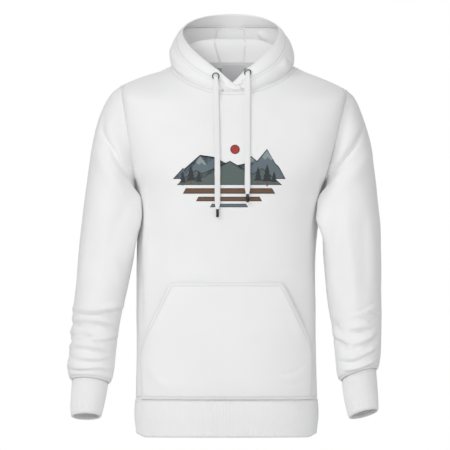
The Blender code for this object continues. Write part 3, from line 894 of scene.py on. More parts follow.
def plain_material(name, colour, roughness, groups, metallic=0.0, fibre=0.0, scale=700.0):
    """One colour, a little uneven."""
    finish, tree, shader = new_material(name, Metallic=metallic)
    fuzz = fibres_on(tree, groups, scale)
    uneven = fuzz.outputs["Height"]
    tree.links.new(two_tones(tree, colour, 0.86, 1.12, uneven), shader.inputs["Base Color"])
    tree.links.new(plus(tree, times(tree, uneven, 0.16), roughness - 0.08), shader.inputs["Roughness"])
    if fibre:
        tree.links.new(bumped(tree, uneven, fibre, 0.8), shader.inputs["Normal"])
    return finish


def woven_material(name, colour, groups, across, along, fibre=0.00025):
    """A braid or twill: slanting yarns that cross, in metres of the piece's own UV map."""
    finish, tree, shader = new_material(name, Roughness=0.85, Sheen_Weight=0.1)
    grain = add(tree, "ShaderNodeUVMap", uv_map="Grain")
    parts = tree.nodes.new("ShaderNodeSeparateXYZ")
    tree.links.new(grain.outputs[0], parts.inputs[0])
    u = math_node(tree, "PINGPONG", math_node(tree, "DIVIDE", parts.outputs["X"], across), 1.0)
    v = math_node(tree, "DIVIDE", parts.outputs["Y"], along)
    yarn = math_node(tree, "PINGPONG", plus(tree, u, v), 0.5)
    fuzz = fibres_on(tree, groups, 1400.0)
    height = plus(tree, yarn, times(tree, fuzz.outputs["Height"], 0.35))
    tree.links.new(two_tones(tree, colour, 0.80, 1.04, height), shader.inputs["Base Color"])
    tree.links.new(bumped(tree, height, fibre, 0.9), shader.inputs["Normal"])
    return finish


finishes = {}


def finish_of(name):
    """A finish by name, all of them made at the first call."""
    if not finishes:
        cloth_set = bpy.context.scene.sweatshirt_cloth
        trim = bpy.context.scene.sweatshirt_trim
        groups = {"knit": knit_group(), "seam": seam_group(), "fuzz": fuzz_group()}
        pitch = cloth_set.wale_pitch
        finishes.update(
            fleece=cloth_material("White fleece", cloth_set.fleece, groups, pitch),
            rib=cloth_material("White rib", cloth_set.rib, groups, pitch, knit_depth=0.00010),
            cord=woven_material("White braid", trim.cord, groups, 0.0056, 0.0046),
            twill=woven_material("White twill", (0.78, 0.78, 0.79), groups, 0.003, 0.0016, 0.00015),
            label=woven_material("Grey satin", trim.label, groups, 0.0011, 0.0007, 0.00006),
            metal=plain_material("Gunmetal", trim.metal, 0.34, groups, metallic=1.0, scale=260.0),
            thread=plain_material(
                "White thread", (0.84, 0.84, 0.85), 0.8, groups, fibre=0.00008, scale=3000.0
            ),
        )
    return finishes[name]


def ink(name, colour):
    """A finish of the print, made when it is first asked for."""
    key = f"ink {name}"
    if key not in finishes:
        groups = {"fuzz": bpy.data.node_groups["Brushed fibres"]}
        finishes[key] = plain_material(f"Ink {name}", colour, 0.72, groups, fibre=0.00010, scale=1500.0)
    return finishes[key]


# Cloth


def on_torso(co):
    """The body's middle, for each point."""
    return np.zeros((len(co), 3))


def down_the_arm(co):
    """The middle of a sleeve at each point's height."""
    x = np.polyval(np.polyfit(co[:, 2], co[:, 0], 3), co[:, 2])
    y = np.polyval(np.polyfit(co[:, 2], co[:, 1], 3), co[:, 2])
    return np.stack([x, y, co[:, 2]], axis=1)


def creased(co):
    """Sinks the cloth along the armpit creases, alike on the pieces either side of a seam."""
    height = fold_heights(co, CREASES)
    return np.stack([0 * height, -height, 0 * height], axis=1)


def by_height(co, table):
    """What a table of mm below the neck and mm of reach gives at each point's height."""
    heights, reaches = zip(*table)
    return np.interp(-co[:, 2] / MM, heights, reaches) * MM


def hang(co, from_edge):
    """How the body hangs: round over the shoulders, out at its right side, and in beside its front."""
    lower = SHOULDER_DROP * np.clip(1 - np.abs(co[:, 1]) / SHOULDER_HALF, 0, 1) ** 2
    lower *= smooth_step(0.122, 0.150, np.abs(co[:, 0] - NECK_X)) * smooth_step(-0.10, -0.05, co[:, 2])
    out = by_height(co, HANGS_OUT) * smooth_step(0.150, 0.178, -co[:, 0])
    sunk = by_height(co, SINKS_IN) * smooth_step(0.1680, 0.1730, -co[:, 0])
    sunk *= smooth_step(0.0, 0.030, -co[:, 1])
    return creased(co) + np.stack([-out, sunk, -lower], axis=1)


class SWEATSHIRT_OT_body(bpy.types.Operator):
    """Makes the front and back panels of the body"""

    bl_idname = "sweatshirt.body"
    bl_label = "Body panels"

    def execute(self, context):
        def hem(p):
            return p.z < HEM_HEIGHT

        def armhole(p):
            return abs(p.x) > 0.17 and p.z > ARMPIT_HEIGHT and abs(p.y) > SIDE_SEAM

        def neck(p):
            return abs(p.x - NECK_X) < 0.124 and p.z > -0.03 and abs(p.y) > SIDE_SEAM

        for node, name, reach in (("body_front", "front_panel", 0.15), ("body_back", "back_panel", -0.15)):
            piece = cloth(
                node, name, FLEECE, BODY_FOLDS,
                seams=((hem, (ONE_ROW,)), (armhole, TWO_ROWS), (neck, TWO_ROWS)), drape=hang,
            )
            edge = finish_fleece(piece, node, reach)
            armhole_edge.extend(point for point in edge if abs(point.x) > 0.16 and point.z > -0.24)
            neck_edge.extend(point for point in edge if neck(point))
            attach(piece, "torso")
        return {"FINISHED"}


def lap_over(side):
    """The front of a sleeve's inner side, which hangs out over the body below the armhole."""

    def move(co, from_edge):
        middle = down_the_arm(co)
        turn = np.degrees(np.arctan2(middle[:, 1] - co[:, 1], (middle[:, 0] - co[:, 0]) * SIGN[side]))
        reach = by_height(co, LAPS[side]) * np.exp(-(((turn - LAP_TURN) / LAP_SPREAD) ** 2))
        reach *= smooth_step(*LAP_EDGE, from_edge)
        return creased(co) + np.stack([-SIGN[side] * reach, -0.22 * reach, 0 * reach], axis=1)

    return move


class SWEATSHIRT_OT_sleeves(bpy.types.Operator):
    """Makes both sleeves"""

    bl_idname = "sweatshirt.sleeves"
    bl_label = "Sleeves"

    def execute(self, context):
        for side in SIGN:
            piece = cloth(
                f"sleeve_{side}", f"{side}_sleeve", FLEECE, SLEEVE_FOLDS[side], lines=side,
                seams=((lambda p: p.z < -0.5, (ONE_ROW,)),), drape=lap_over(side),
                sewn=lambda p: p.z > -0.3, line=armhole_edge,
            )
            finish_fleece(piece, f"sleeve_{side}", 0.055, down_the_arm)
            bend_with_sleeve(piece)
        return {"FINISHED"}


def edge_rings(mesh):
    """A tube's two open edges, the lower one first, each as points in order round its middle."""
    bm = bmesh.new()
    bm.from_mesh(mesh)
    rings, seen = [], set()
    for start in (v for v in bm.verts if v.is_boundary):
        if start in seen:
            continue
        ring, waiting = [], [start]
        seen.add(start)
        while waiting:
            here = waiting.pop()
            ring.append(here.co.copy())
            for edge in here.link_edges:
                there = edge.other_vert(here)
                if edge.is_boundary and there not in seen:
                    seen.add(there)
                    waiting.append(there)
        rings.append(np.array(ring))
    bm.free()
    return sorted(rings, key=lambda ring: ring[:, 2].mean())


def height_round(ring, turns):
    """The height of a ring of points at each turn about its middle."""
    middle = ring.mean(axis=0)
    angle = np.arctan2(ring[:, 1] - middle[1], ring[:, 0] - middle[0])
    order = np.argsort(angle)
    return np.interp(turns, angle[order], ring[order, 2], period=2 * math.pi)


def band_faces(rows, columns):
    """The faces of a tube with two walls, whose points run row by row, those of the outer wall first."""
    half, top = (rows + 1) * columns, rows * columns
    faces = []
    for row in range(rows):
        for column in range(columns):
            a, b = row * columns + column, row * columns + (column + 1) % columns
            faces.append((a, b, b + columns, a + columns))
            faces.append((half + a, half + a + columns, half + b + columns, half + b))
    for a in range(columns):
        b = (a + 1) % columns
        faces.append((a, half + a, half + b, b))
        faces.append((top + a, top + b, half + top + b, half + top + a))
    return faces


def ribbed_band(node, name, rows, flare, lines, corner=0.0):
    """A tube of rib knit on its CAD shell, each rib raised outside and sunk inside."""
    cad = outer_face(node, f"{name}_guide", RIB)
    subdivide(cad, GUIDE_LEVELS)
    surface, rings = surface_of(cad.data), edge_rings(cad.data)
    bpy.data.objects.remove(cad)
    bottom, top = (ring.mean(axis=0) for ring in rings)
    steps = np.linalg.norm(np.diff(rings[1], axis=0, append=rings[1][:1]), axis=1)
    length = steps[steps < 0.05].sum()
    columns = RIB_COLUMNS * round(length / settings().rib_pitch)
    turns = np.linspace(-math.pi, math.pi, columns, endpoint=False)
    low, high = (height_round(ring, turns) for ring in rings)
    low = low + corner * smooth_step(0.93, 1.0, np.abs(np.cos(turns)))
    depth = settings().rib_depth
    outer, inner, uvs, sewn = [], [], [], []
    for row in range(rows + 1):
        share = row / rows
        seen_share = min(max(share, RIB_SEEN[0]), RIB_SEEN[1])
        middle = bottom + (top - bottom) * share
        swell = flare * math.sin(math.pi * share) - RIB_ROUNDED * (row == 0)
        for column, turn in enumerate(turns):
            rise = high[column] - low[column]
            z = low[column] + rise * share + SEAM_REACH * (row == rows)
            away = Vector((math.cos(turn), math.sin(turn), 0))
            start = Vector((middle[0], middle[1], low[column] + rise * seen_share))
            hit = surface.ray_cast(start + away * 0.4, -away, 0.4)[0]
            if hit is None:
                hit = surface.find_nearest(start + away * 0.1)[0]
            wave = 0.5 - 0.5 * math.cos(2 * math.pi * column / RIB_COLUMNS)
            lift = depth * (wave - 1) + swell
            place = Vector((hit.x, hit.y, z))
            outer.append(place + away * lift)
            inner.append(place + away * (lift - RIB_WALL + depth * (1 - wave)))
            uvs.append((turn * length / (2 * math.pi), z))
            if row == rows - 1:
                sewn.append((outer[-1] + Vector((0, 0, RIB_STITCHES)), away))
    made = bpy.data.meshes.new(name)
    made.from_pydata(outer + inner, [], band_faces(rows, columns))
    made.validate()
    layer = made.uv_layers.new(name="Grain")
    for loop in made.loops:
        layer.data[loop.index].uv = uvs[loop.vertex_index % len(outer)]
    set_value(made, "seam_distance", [1.0] * len(made.vertices))
    piece = add_piece(name, made)
    pick(piece)
    bpy.ops.object.shade_smooth()
    made.materials.append(finish_of("rib"))
    stitch_lines[lines].append(sewn + sewn[:1])
    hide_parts(node)
    return piece


class SWEATSHIRT_OT_ribs(bpy.types.Operator):
    """Makes the ribbed hem and cuffs"""

    bl_idname = "sweatshirt.ribs"
    bl_label = "Hem and cuffs"

    def execute(self, context):
        hem = ribbed_band("hem_rib", "hem_band", 18, 0.0001, "torso", 0.007)
        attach(hem, "torso")
        for side in SIGN:
            cuff = ribbed_band(f"cuff_{side}", f"{side}_cuff", 14, 0.0008, f"{side}_cuff")
            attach(cuff, f"{side}_arm")
        return {"FINISHED"}


class SWEATSHIRT_OT_pocket(bpy.types.Operator):
    """Makes the front pocket"""

    bl_idname = "sweatshirt.pocket"
    bl_label = "Pocket"

    def execute(self, context):
        piece = cloth(
            "kangaroo_pocket", "front_pocket", FLEECE, POCKET_FOLDS, ripple=0.6, tuck=0.0,
            seams=((lambda p: p.z > POCKET_FOOT, TWO_ROWS), (lambda p: p.z < POCKET_FOOT, (ONE_ROW,))),
            rolls=(
                (lambda p: p.z > POCKET_TOP or p.z < POCKET_MOUTH, 0.0016, 0.006),
                (lambda p: True, 0.0008, 0.003),
            ),
        )
        finish_fleece(piece, "kangaroo_pocket", 0.15)
        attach(piece, "torso")
        return {"FINISHED"}


def cross_ends(mesh):
    """Brings the casing's two ends down to the neck seam, one over the other, below a sharp V."""
    for vert in mesh.vertices:
        for old, new in V_ENDS:
            if (vert.co - Vector(old) * MM).length < V_REACH:
                vert.co = Vector(new) * MM


class SWEATSHIRT_OT_hood(bpy.types.Operator):
    """Makes the hood's three panels and the casing that the drawcord runs in"""

    bl_idname = "sweatshirt.hood"
    bl_label = "Hood"

    def execute(self, context):
        panel_edge = []
        neck_seam = tree_of(neck_edge)

        def on_neck(p):
            return neck_seam.find(p)[2] < 0.005 and abs(p.x - 0.022) > 0.002

        for node, name in (("hood_side_right", "hood_right"), ("hood_side_left", "hood_left")):
            piece = cloth(node, name, FLEECE, HOOD_FOLDS, ripple=0.7, sewn=on_neck, line=neck_edge)
            panel_edge += finish_fleece(piece, node, 0.11)
            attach(piece, "torso")
        strip = cloth(
            "hood_centre", "hood_strip", FLEECE, ripple=0.3,
            seams=((lambda p: abs(abs(p.x - 0.001) - 0.026) < 0.006, (NEAR_SEAM,)),),
        )
        panel_edge += finish_fleece(strip, "hood_centre", 0.11)
        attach(strip, "torso")
        panels = [surface_of(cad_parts[node].data) for node in HOOD_PANELS]

        def sewn(p):
            return min(tree.find_nearest(p)[3] for tree in panels) < 0.005 and abs(p.x - NECK_X) > 0.022

        def folded(p):
            return not sewn(p) and abs(p.x - NECK_X) > 0.034 or p.z > 0.09

        def raise_fold(mesh):
            cross_ends(mesh)
            meet_neighbours(mesh, 0.0030, folded)

        casing = cloth(
            "hood_tunnel", "hood_casing", CASING, ripple=0.5, calm=0.006, tuck=0.0, shape=raise_fold,
            rolls=((sewn, 0.0004, 0.004), (folded, 0.0022, 0.006)), seams=((sewn, (ONE_ROW,)),),
            sewn=sewn, line=panel_edge,
        )
        finish_fleece(casing, "hood_tunnel", 0.11, thickness=CASING)
        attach(casing, "torso")
        return {"FINISHED"}


class SWEATSHIRT_OT_neck(bpy.types.Operator):
    """Makes the neck tape and the blank label"""

    bl_idname = "sweatshirt.neck"
    bl_label = "Neck tape and label"

    def execute(self, context):
        tape = outer_face("neck_tape", "neck_taping", TAPE)
        subdivide(tape, GUIDE_LEVELS)
        unroll(tape, on_torso, -0.11)
        thicken(tape, TAPE, finish_of("twill"), "neck_tape")
        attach(tape, "torso")
        low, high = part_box("neck_label")
        middle, size = (low + high) / 2, high - low
        deselect()
        bpy.ops.mesh.primitive_grid_add(
            x_subdivisions=18, y_subdivisions=22, size=1, location=middle, rotation=(math.pi / 2, 0, 0)
        )
        label = context.object
        label.name = label.data.name = "blank_label"
        label.dimensions = (size.x, size.z, 0)
        bpy.ops.object.transform_apply(location=True, rotation=True, scale=True)
        for vertex in label.data.vertices:
            across = (vertex.co.x - middle.x) / size.x
            up = (vertex.co.z - low.z) / size.z
            vertex.co.y += 0.0012 * math.cos(3.0 * across) * math.sin(math.pi * up) - 0.0004
        label.data.uv_layers.remove(label.data.uv_layers[0])
        layer = label.data.uv_layers.new(name="Grain")
        for loop in label.data.loops:
            place = label.data.vertices[loop.vertex_index].co
            layer.data[loop.index].uv = (place.x, place.z)
        apply_modifier(label, "SOLIDIFY", thickness=0.0007, offset=0.0)
        label.data.materials.append(finish_of("label"))
        bpy.ops.object.shade_smooth_by_angle(angle=math.radians(40))
        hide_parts("neck_label")
        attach(label, "torso")
        return {"FINISHED"}


# Trim


def plane_of(node):
    """The middle of a CAD node and the direction in which it is thinnest, forwards."""
    co = places(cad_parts[node].data)
    low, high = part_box(node)
    middle = (low + high) / 2
    away = np.linalg.svd(co - co.mean(axis=0), full_matrices=False)[2][2]
    away = Vector(away)
    return middle, away if away.y < 0 else -away


class SWEATSHIRT_OT_eyelets(bpy.types.Operator):
    """Makes the two eyelets, each a rolled metal ring"""

    bl_idname = "sweatshirt.eyelets"
    bl_label = "Eyelets"

    def execute(self, context):
        for side in SIGN:
            middle, away = plane_of(f"eyelet_{side}")
            turned = away.to_track_quat("Z", "Y").to_euler()
            deselect()
            bpy.ops.mesh.primitive_torus_add(
                major_segments=48, minor_segments=16, major_radius=EYELET_RADIUS, minor_radius=EYELET_WIRE,
                location=middle, rotation=turned,
            )
            rim = context.object
            rim.name = rim.data.name = f"{side}_eyelet"
            bpy.ops.object.transform_apply(location=True, rotation=True, scale=True)
            bpy.ops.object.shade_smooth_by_angle(angle=math.radians(50))
            rim.data.materials.append(finish_of("metal"))
            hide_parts(f"eyelet_{side}")
            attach(rim, "torso")
        return {"FINISHED"}


def cord_tip(side):
    """A metal tip, pinched where it grips the cord."""
    low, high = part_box(f"aglet_{side}")
    middle = (low + high) / 2
    deselect()
    bpy.ops.mesh.primitive_cylinder_add(
        vertices=32, radius=(high.x - low.x) / 2, depth=high.z - low.z, location=middle
    )
    tip = bpy.context.object
    tip.name = tip.data.name = f"{side}_cord_tip"
    bpy.ops.object.mode_set(mode="EDIT")
    bpy.ops.mesh.select_all(action="DESELECT")
    bpy.ops.object.mode_set(mode="OBJECT")
    for face in tip.data.polygons:
        face.select = abs(face.normal.z) > 0.9
    bpy.ops.object.mode_set(mode="EDIT")
    bpy.ops.mesh.inset(thickness=0.0007)
    bpy.ops.mesh.extrude_region_move(TRANSFORM_OT_translate={"value": (0, 0, 0)})
    bpy.ops.mesh.select_all(action="SELECT")
    for height in (0.0052, 0.0040, -0.0062):
        bpy.ops.mesh.bisect(plane_co=middle + Vector((0, 0, height)), plane_no=(0, 0, 1))
        bpy.ops.mesh.select_all(action="SELECT")
    bpy.ops.object.mode_set(mode="OBJECT")
    bpy.ops.object.transform_apply(location=True, rotation=True, scale=True)
    for vertex in tip.data.vertices:
        up = (vertex.co.z - low.z) / (high.z - low.z)
        pinch = 1 - 0.10 * math.exp(-(((up - 0.79) / 0.05) ** 2)) - 0.12 * (up < 0.05)
        vertex.co.x = middle.x + (vertex.co.x - middle.x) * pinch
        vertex.co.y = middle.y + (vertex.co.y - middle.y) * pinch
    apply_modifier(tip, "BEVEL", width=0.0004, segments=2, limit_method="ANGLE")
    bpy.ops.object.shade_smooth_by_angle(angle=math.radians(40))
    tip.data.materials.append(finish_of("metal"))
    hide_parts(f"aglet_{side}")
    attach(tip, "torso")
    return tip


def cord_size(side, trim, travelled, left):
    """The cord's width and thickness this far along, with this much left to its tip."""
    opened = float(smooth_step(0.004, 0.026, travelled))
    near_tip = float(smooth_step(0.0, 0.012, left))
    wobble = 1 + 0.03 * math.sin(travelled * 140 + SIGN[side])
    narrow = PINCHED_WIDTH + EXIT_WIDER * (1 - opened) * near_tip
    width = narrow + (trim.cord_width - narrow) * min(opened, 0.15 + 0.85 * near_tip)
    pinched = 1 - min(opened, near_tip)
    return width * wobble, trim.cord_thickness + (PINCHED_THICKNESS - trim.cord_thickness) * pinched


def braided_cord(side, line, length, trim):
    """A flat cord with round edges along a line."""
    points, faces, uvs = [], [], []
    steps = len(line) - 1
    travelled = 0.0
    for index, place in enumerate(line):
        before = line[max(index - 1, 0)]
        ahead = (line[min(index + 1, steps)] - before).normalized()
        across = Vector((1, 0, 0))
        across = (across - ahead * across.dot(ahead)).normalized()
        out = across.cross(ahead)
        travelled += (place - before).length
        width, thickness = cord_size(side, trim, travelled, length - travelled)
        for corner in range(CORD_CORNERS):
            turn = 2 * math.pi * corner / CORD_CORNERS
            c, s = math.cos(turn), math.sin(turn)
            aside = math.copysign(abs(c) ** 0.75, c) * width / 2
            proud = math.copysign(abs(s) ** 0.75, s) * thickness / 2
            points.append(place + across * aside + out * proud)
            uvs.append((aside, travelled))
    for index in range(steps):
        for corner in range(CORD_CORNERS):
            a = index * CORD_CORNERS + corner
            b = index * CORD_CORNERS + (corner + 1) % CORD_CORNERS
            faces.append((a, b, b + CORD_CORNERS, a + CORD_CORNERS))
    faces.append(tuple(range(CORD_CORNERS))[::-1])
    faces.append(tuple(steps * CORD_CORNERS + corner for corner in range(CORD_CORNERS)))
    mesh = bpy.data.meshes.new(f"{side}_drawcord")
    mesh.from_pydata(points, [], faces)
    turn_outwards(mesh)
    layer = mesh.uv_layers.new(name="Grain")
    for loop in mesh.loops:
        layer.data[loop.index].uv = uvs[loop.vertex_index]
    return add_piece(mesh.name, mesh)


class SWEATSHIRT_OT_drawcords(bpy.types.Operator):
    """Makes the drawcord's two free ends, flat braid with a metal tip"""

    bl_idname = "sweatshirt.drawcords"
    bl_label = "Drawcords"

    def execute(self, context):
        trim = context.scene.sweatshirt_trim
        for side, route in CORD_ROUTES.items():
            points = [Vector(place) for place in route]
            length = sum((b - a).length for a, b in zip(points, points[1:]))
            steps = round(length / CORD_STEP)
            line = [through(points, step / steps) for step in range(steps + 1)]
            cord = braided_cord(side, line, length, trim)
            pick(cord)
            bpy.ops.object.shade_smooth_by_angle(angle=math.radians(60))
            cord.data.materials.append(finish_of("cord"))
            tip = cord_tip(side)
            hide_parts(f"drawcord_{side}")
            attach(cord, "torso")
        return {"FINISHED"}


# Chest print: hills, a sun, trees and bars, in mm from its middle
DARK, SLATE, PALE = (0.030, 0.036, 0.042), (0.125, 0.165, 0.190), (0.26, 0.32, 0.33)
GREEN = (0.10, 0.135, 0.125)
RED, BROWN = (0.42, 0.035, 0.030), (0.16, 0.085, 0.045)


def disc(x, z, radius, count=28):
    turns = [2 * math.pi * step / count for step in range(count)]
    return [(x + radius * math.cos(t), z + radius * math.sin(t)) for t in turns]


def bar(x, z, half, high, slope=0.0):
    short = half - slope
    return [(x - half, z - high), (x + half, z - high), (x + short, z + high), (x - short, z + high)]


def print_shapes():
    """Each shape of the print: the name of its ink, the ink's colour, its layer and its outline."""
    far = [
        (-112, -6), (-92, 16), (-80, 8), (-58, 42), (-44, 26), (-30, 38), (-6, 6), (20, 12), (44, 40),
        (56, 30), (76, 54), (92, 26), (100, 18), (113, -6),
    ]
    near = [
        (-104, -18), (-86, -2), (-66, 12), (-46, 0), (-22, 18), (2, 30), (24, 14), (48, 4), (66, 16),
        (90, -4), (106, -18),
    ]
    shapes = [("dark", DARK, 0, far), ("slate", SLATE, 1, grown(far, -1.8))]
    shapes += [
        ("pale", PALE, 2, [(-58, 39), (-66, 27), (-60, 22), (-55, 27), (-48, 21), (-46, 25)]),
        ("pale", PALE, 2, [(76, 51), (66, 38), (72, 32), (77, 38), (84, 31), (87, 34)]),
        ("pale", PALE, 2, [(44, 37), (38, 29), (44, 26), (48, 30), (51, 32)]),
        ("dark", DARK, 3, near), ("green", GREEN, 4, grown(near, -1.6)),
        ("dark", DARK, 0, disc(12, 53, 9.4)), ("red", RED, 1, disc(12, 53, 8.0)),
        ("dark", DARK, 3, bar(0, -30, 92, 5.4, 6)), ("brown", BROWN, 4, bar(0, -30, 90, 3.8, 5)),
        ("dark", DARK, 3, bar(0, -46, 66, 4.4, 5)), ("brown", BROWN, 4, bar(0, -46, 64.4, 3.0, 4)),
        ("dark", DARK, 3, bar(0, -59, 38, 3.4, 4)), ("slate", SLATE, 4, bar(0, -59, 36.6, 2.1, 3)),
    ]
    trees = (
        (-76, -12, 1.0), (-60, -14, 0.75), (58, -12, 0.9), (76, -14, 1.1), (90, -14, 0.7), (-92, -15, 0.7),
    )
    for x, z, size in trees:
        shapes.append(("brown", BROWN, 5, bar(x, z, 1.3 * size, 6 * size)))
        for step in range(3):
            base = z + (3 + 8 * step) * size
            wide = (9.5 - 2.4 * step) * size
            top = base + 15 * size
            shapes.append(("dark", DARK, 6 + step, [(x - wide, base), (x + wide, base), (x, top)]))
    return shapes


def grown(points, by):
    """An outline moved outwards by this much, for points that run either way round."""
    ahead = points[1:] + points[:1]
    area = sum(a[0] * b[1] - b[0] * a[1] for a, b in zip(points, ahead))
    by = by if area > 0 else -by
    moved = []
    for before, (x, z), after in zip(points[-1:] + points[:-1], points, ahead):
        sides = ((before, (x, z)), ((x, z), after))
        ways = [Vector((b[1] - a[1], a[0] - b[0])).normalized() for a, b in sides]
        mean = (ways[0] + ways[1]).normalized()
        reach = by / max(0.5, mean.dot(ways[0]))
        moved.append((x + mean.x * reach, z + mean.y * reach))
    return moved


def laid_on(chest, outline, layer, placing):
    """A shape of the print, cut small and laid on the front panel."""
    across, up, scale = *placing.middle, placing.scale * MM
    shape = bmesh.new()
    shape.faces.new([shape.verts.new((across + x * scale, 0, up + z * scale)) for x, z in outline])
    bmesh.ops.triangulate(shape, faces=shape.faces)
    for way, low, high in (((1, 0, 0), -0.14, 0.14), ((0, 0, 1), -0.30, -0.06)):
        for cut in np.arange(low, high, PRINT_STEP):
            bmesh.ops.bisect_plane(
                shape, geom=[*shape.verts, *shape.edges, *shape.faces], dist=1e-6,
                plane_co=Vector(way) * float(cut), plane_no=way,
            )
    for vertex in shape.verts:
        hit, out, _, _ = chest.ray_cast(Vector((vertex.co.x, -0.5, vertex.co.z)), Vector((0, 1, 0)))
        vertex.co = hit + out * (PRINT_LIFT + LAYER_LIFT * layer)
    for face in shape.faces:
        if face.normal.y > 0:
            face.normal_flip()
    mesh = bpy.data.meshes.new("shape")
    shape.to_mesh(mesh)
    shape.free()
    return mesh


class SWEATSHIRT_OT_print(bpy.types.Operator):
    """Lays the chest print on the front panel"""

    bl_idname = "sweatshirt.print"
    bl_label = "Chest print"

    def execute(self, context):
        chest = surface_of(bpy.data.objects["front_panel"].data)
        by_ink = {}
        for name, colour, layer, outline in print_shapes():
            by_ink.setdefault(name, (colour, []))[1].append((layer, outline))
        for name, (colour, shapes) in by_ink.items():
            bm = bmesh.new()
            for layer, outline in shapes:
                part = laid_on(chest, outline, layer, context.scene.sweatshirt_print)
                bm.from_mesh(part)
                bpy.data.meshes.remove(part)
            mesh = bpy.data.meshes.new(f"print_{name}")
            bm.to_mesh(mesh)
            bm.free()
            piece = add_piece(mesh.name, mesh)
            pick(piece)
            bpy.ops.object.shade_smooth()
            mesh.materials.append(ink(name, colour))
            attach(piece, "torso")
        return {"FINISHED"}


def stitches_along(line, bead):
    """The points of each stitch along a line of (place, outward)."""
    spots, outs = (np.array(values) for values in zip(*line))
    gone = np.concatenate([[0], np.cumsum(np.linalg.norm(np.diff(spots, axis=0), axis=1))])
    stitches = []
    for step in range(int(gone[-1] / STITCH_PITCH)):
        at = [(step + offset) * STITCH_PITCH for offset in (0.1, 0.5, 0.9)]
        start, middle, end = (
            np.array([np.interp(place, gone, spots[:, axis]) for axis in range(3)]) for place in at
        )
        out = np.array([np.interp(at[1], gone, outs[:, axis]) for axis in range(3)])
        along = end - start
        if np.linalg.norm(along) < 1e-6:
            continue
        along /= np.linalg.norm(along)
        out -= along * (out @ along)
        out /= np.linalg.norm(out)
        turned = np.stack([along, np.cross(out, along), out])
        stitches.append(bead @ turned + middle + out * STITCH_LIFT)
    return stitches


class SWEATSHIRT_OT_stitching(bpy.types.Operator):
    """Sews a stitch along every line that the cloth pieces gave"""

    bl_idname = "sweatshirt.stitching"
    bl_label = "Stitching"

    def execute(self, context):
        deselect()
        bpy.ops.mesh.primitive_uv_sphere_add(segments=6, ring_count=4, radius=0.5)
        guide = context.object
        bead = places(guide.data)[:, [2, 0, 1]] * np.array(STITCH_SIZE)
        bead_faces = [list(face.vertices) for face in guide.data.polygons]
        bpy.data.objects.remove(guide)
        for group, lines in stitch_lines.items():
            stitches = [stitch for line in lines for stitch in stitches_along(line, bead)]
            if not stitches:
                continue
            faces = [
                [index * len(bead) + corner for corner in face]
                for index in range(len(stitches)) for face in bead_faces
            ]
            mesh = bpy.data.meshes.new(f"{group}_stitches")
            mesh.from_pydata(np.concatenate(stitches), [], faces)
            turn_outwards(mesh)
            piece = add_piece(mesh.name, mesh)
            pick(piece)
            bpy.ops.object.shade_smooth()
            mesh.materials.append(finish_of("thread"))
            if group in SIGN:
                bend_with_sleeve(piece)
            else:
                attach(piece, "torso" if group == "torso" else group.replace("cuff", "arm"))
        return {"FINISHED"}


# Stage. The floor fades out between two distances from its middle. A light has its place, size and power.
# The spot lights the hood's inside, and the studio is a little brighter in front than behind.
FLOOR_RADIUS, FLOOR_HEIGHT, FLOOR_FADE = 1.25, -0.80, (0.90, 1.46)
LIGHTS = {
    "Key": ((-2.3, -2.4, 1.9), 1.3, 30.0),
    "Front": ((-0.5, -3.4, 0.3), 2.0, 35.0),
    "Right": ((2.8, -1.6, 0.4), 2.0, 6.0),
    "Back": ((0.6, 3.4, 0.8), 2.0, 52.0),
}
LIGHTS_AIM = (0, 0, -0.28)
SPOT_PLACE, SPOT_AIM, SPOT_POWER, SPOT_DEGREES, SPOT_RADIUS = (0, -3, 0.3), (0, 0.05, 0.08), 70.0, 3.6, 0.1
STUDIO_BEHIND, STUDIO_FRONT = 0.44, 0.50
CAMERA_PLACE, CAMERA_LENS = (-0.009, -30.08, -0.284), 1200


def map_range(tree, value, given, made, interpolation="LINEAR"):
    node = tree.nodes.new("ShaderNodeMapRange")
    node.interpolation_type = interpolation
    for socket, end in zip(("From Min", "From Max", "To Min", "To Max"), (*given, *made)):
        node.inputs[socket].default_value = end
    tree.links.new(value, node.inputs["Value"])
    return node.outputs["Result"]


def lay_floor():
    """A disc of white paper that fades out towards its edge."""
    deselect()
    bpy.ops.mesh.primitive_circle_add(
        vertices=96, radius=FLOOR_RADIUS, fill_type="NGON", location=(0, 0, FLOOR_HEIGHT)
    )
    floor = bpy.context.object
    floor.name = floor.data.name = "floor"
    bpy.ops.object.transform_apply(location=True, rotation=True, scale=True)
    paper, tree, shader = new_material(
        "White paper", Base_Color=(0.88, 0.88, 0.88, 1), Roughness=1.0, Specular_IOR_Level=0.0
    )
    place = tree.nodes.new("ShaderNodeTexCoord")
    away = tree.nodes.new("ShaderNodeVectorMath")
    away.operation = "LENGTH"
    tree.links.new(place.outputs["Object"], away.inputs[0])
    shown = map_range(tree, away.outputs["Value"], FLOOR_FADE, (1.0, 0.0), "SMOOTHSTEP")
    tree.links.new(shown, shader.inputs["Alpha"])
    floor.data.materials.append(paper)


def aim_light(scene, lamp, place, aim):
    light = bpy.data.objects.new(lamp.name, lamp)
    scene.collection.objects.link(light)
    light.location = place
    light.rotation_euler = (Vector(aim) - Vector(place)).to_track_quat("-Z", "Y").to_euler()


def hang_lights(scene):
    """The soft lights, and the spot for the hood's inside."""
    for name, (place, size, power) in LIGHTS.items():
        lamp = bpy.data.lights.new(name, "AREA")
        lamp.shape = "DISK"
        lamp.size = size
        lamp.energy = power
        aim_light(scene, lamp, place, LIGHTS_AIM)
    beam = bpy.data.lights.new("Hood", "SPOT")
    beam.energy = SPOT_POWER
    beam.spot_size = math.radians(SPOT_DEGREES)
    beam.spot_blend = 1.0
    beam.shadow_soft_size = SPOT_RADIUS
    aim_light(scene, beam, SPOT_PLACE, SPOT_AIM)


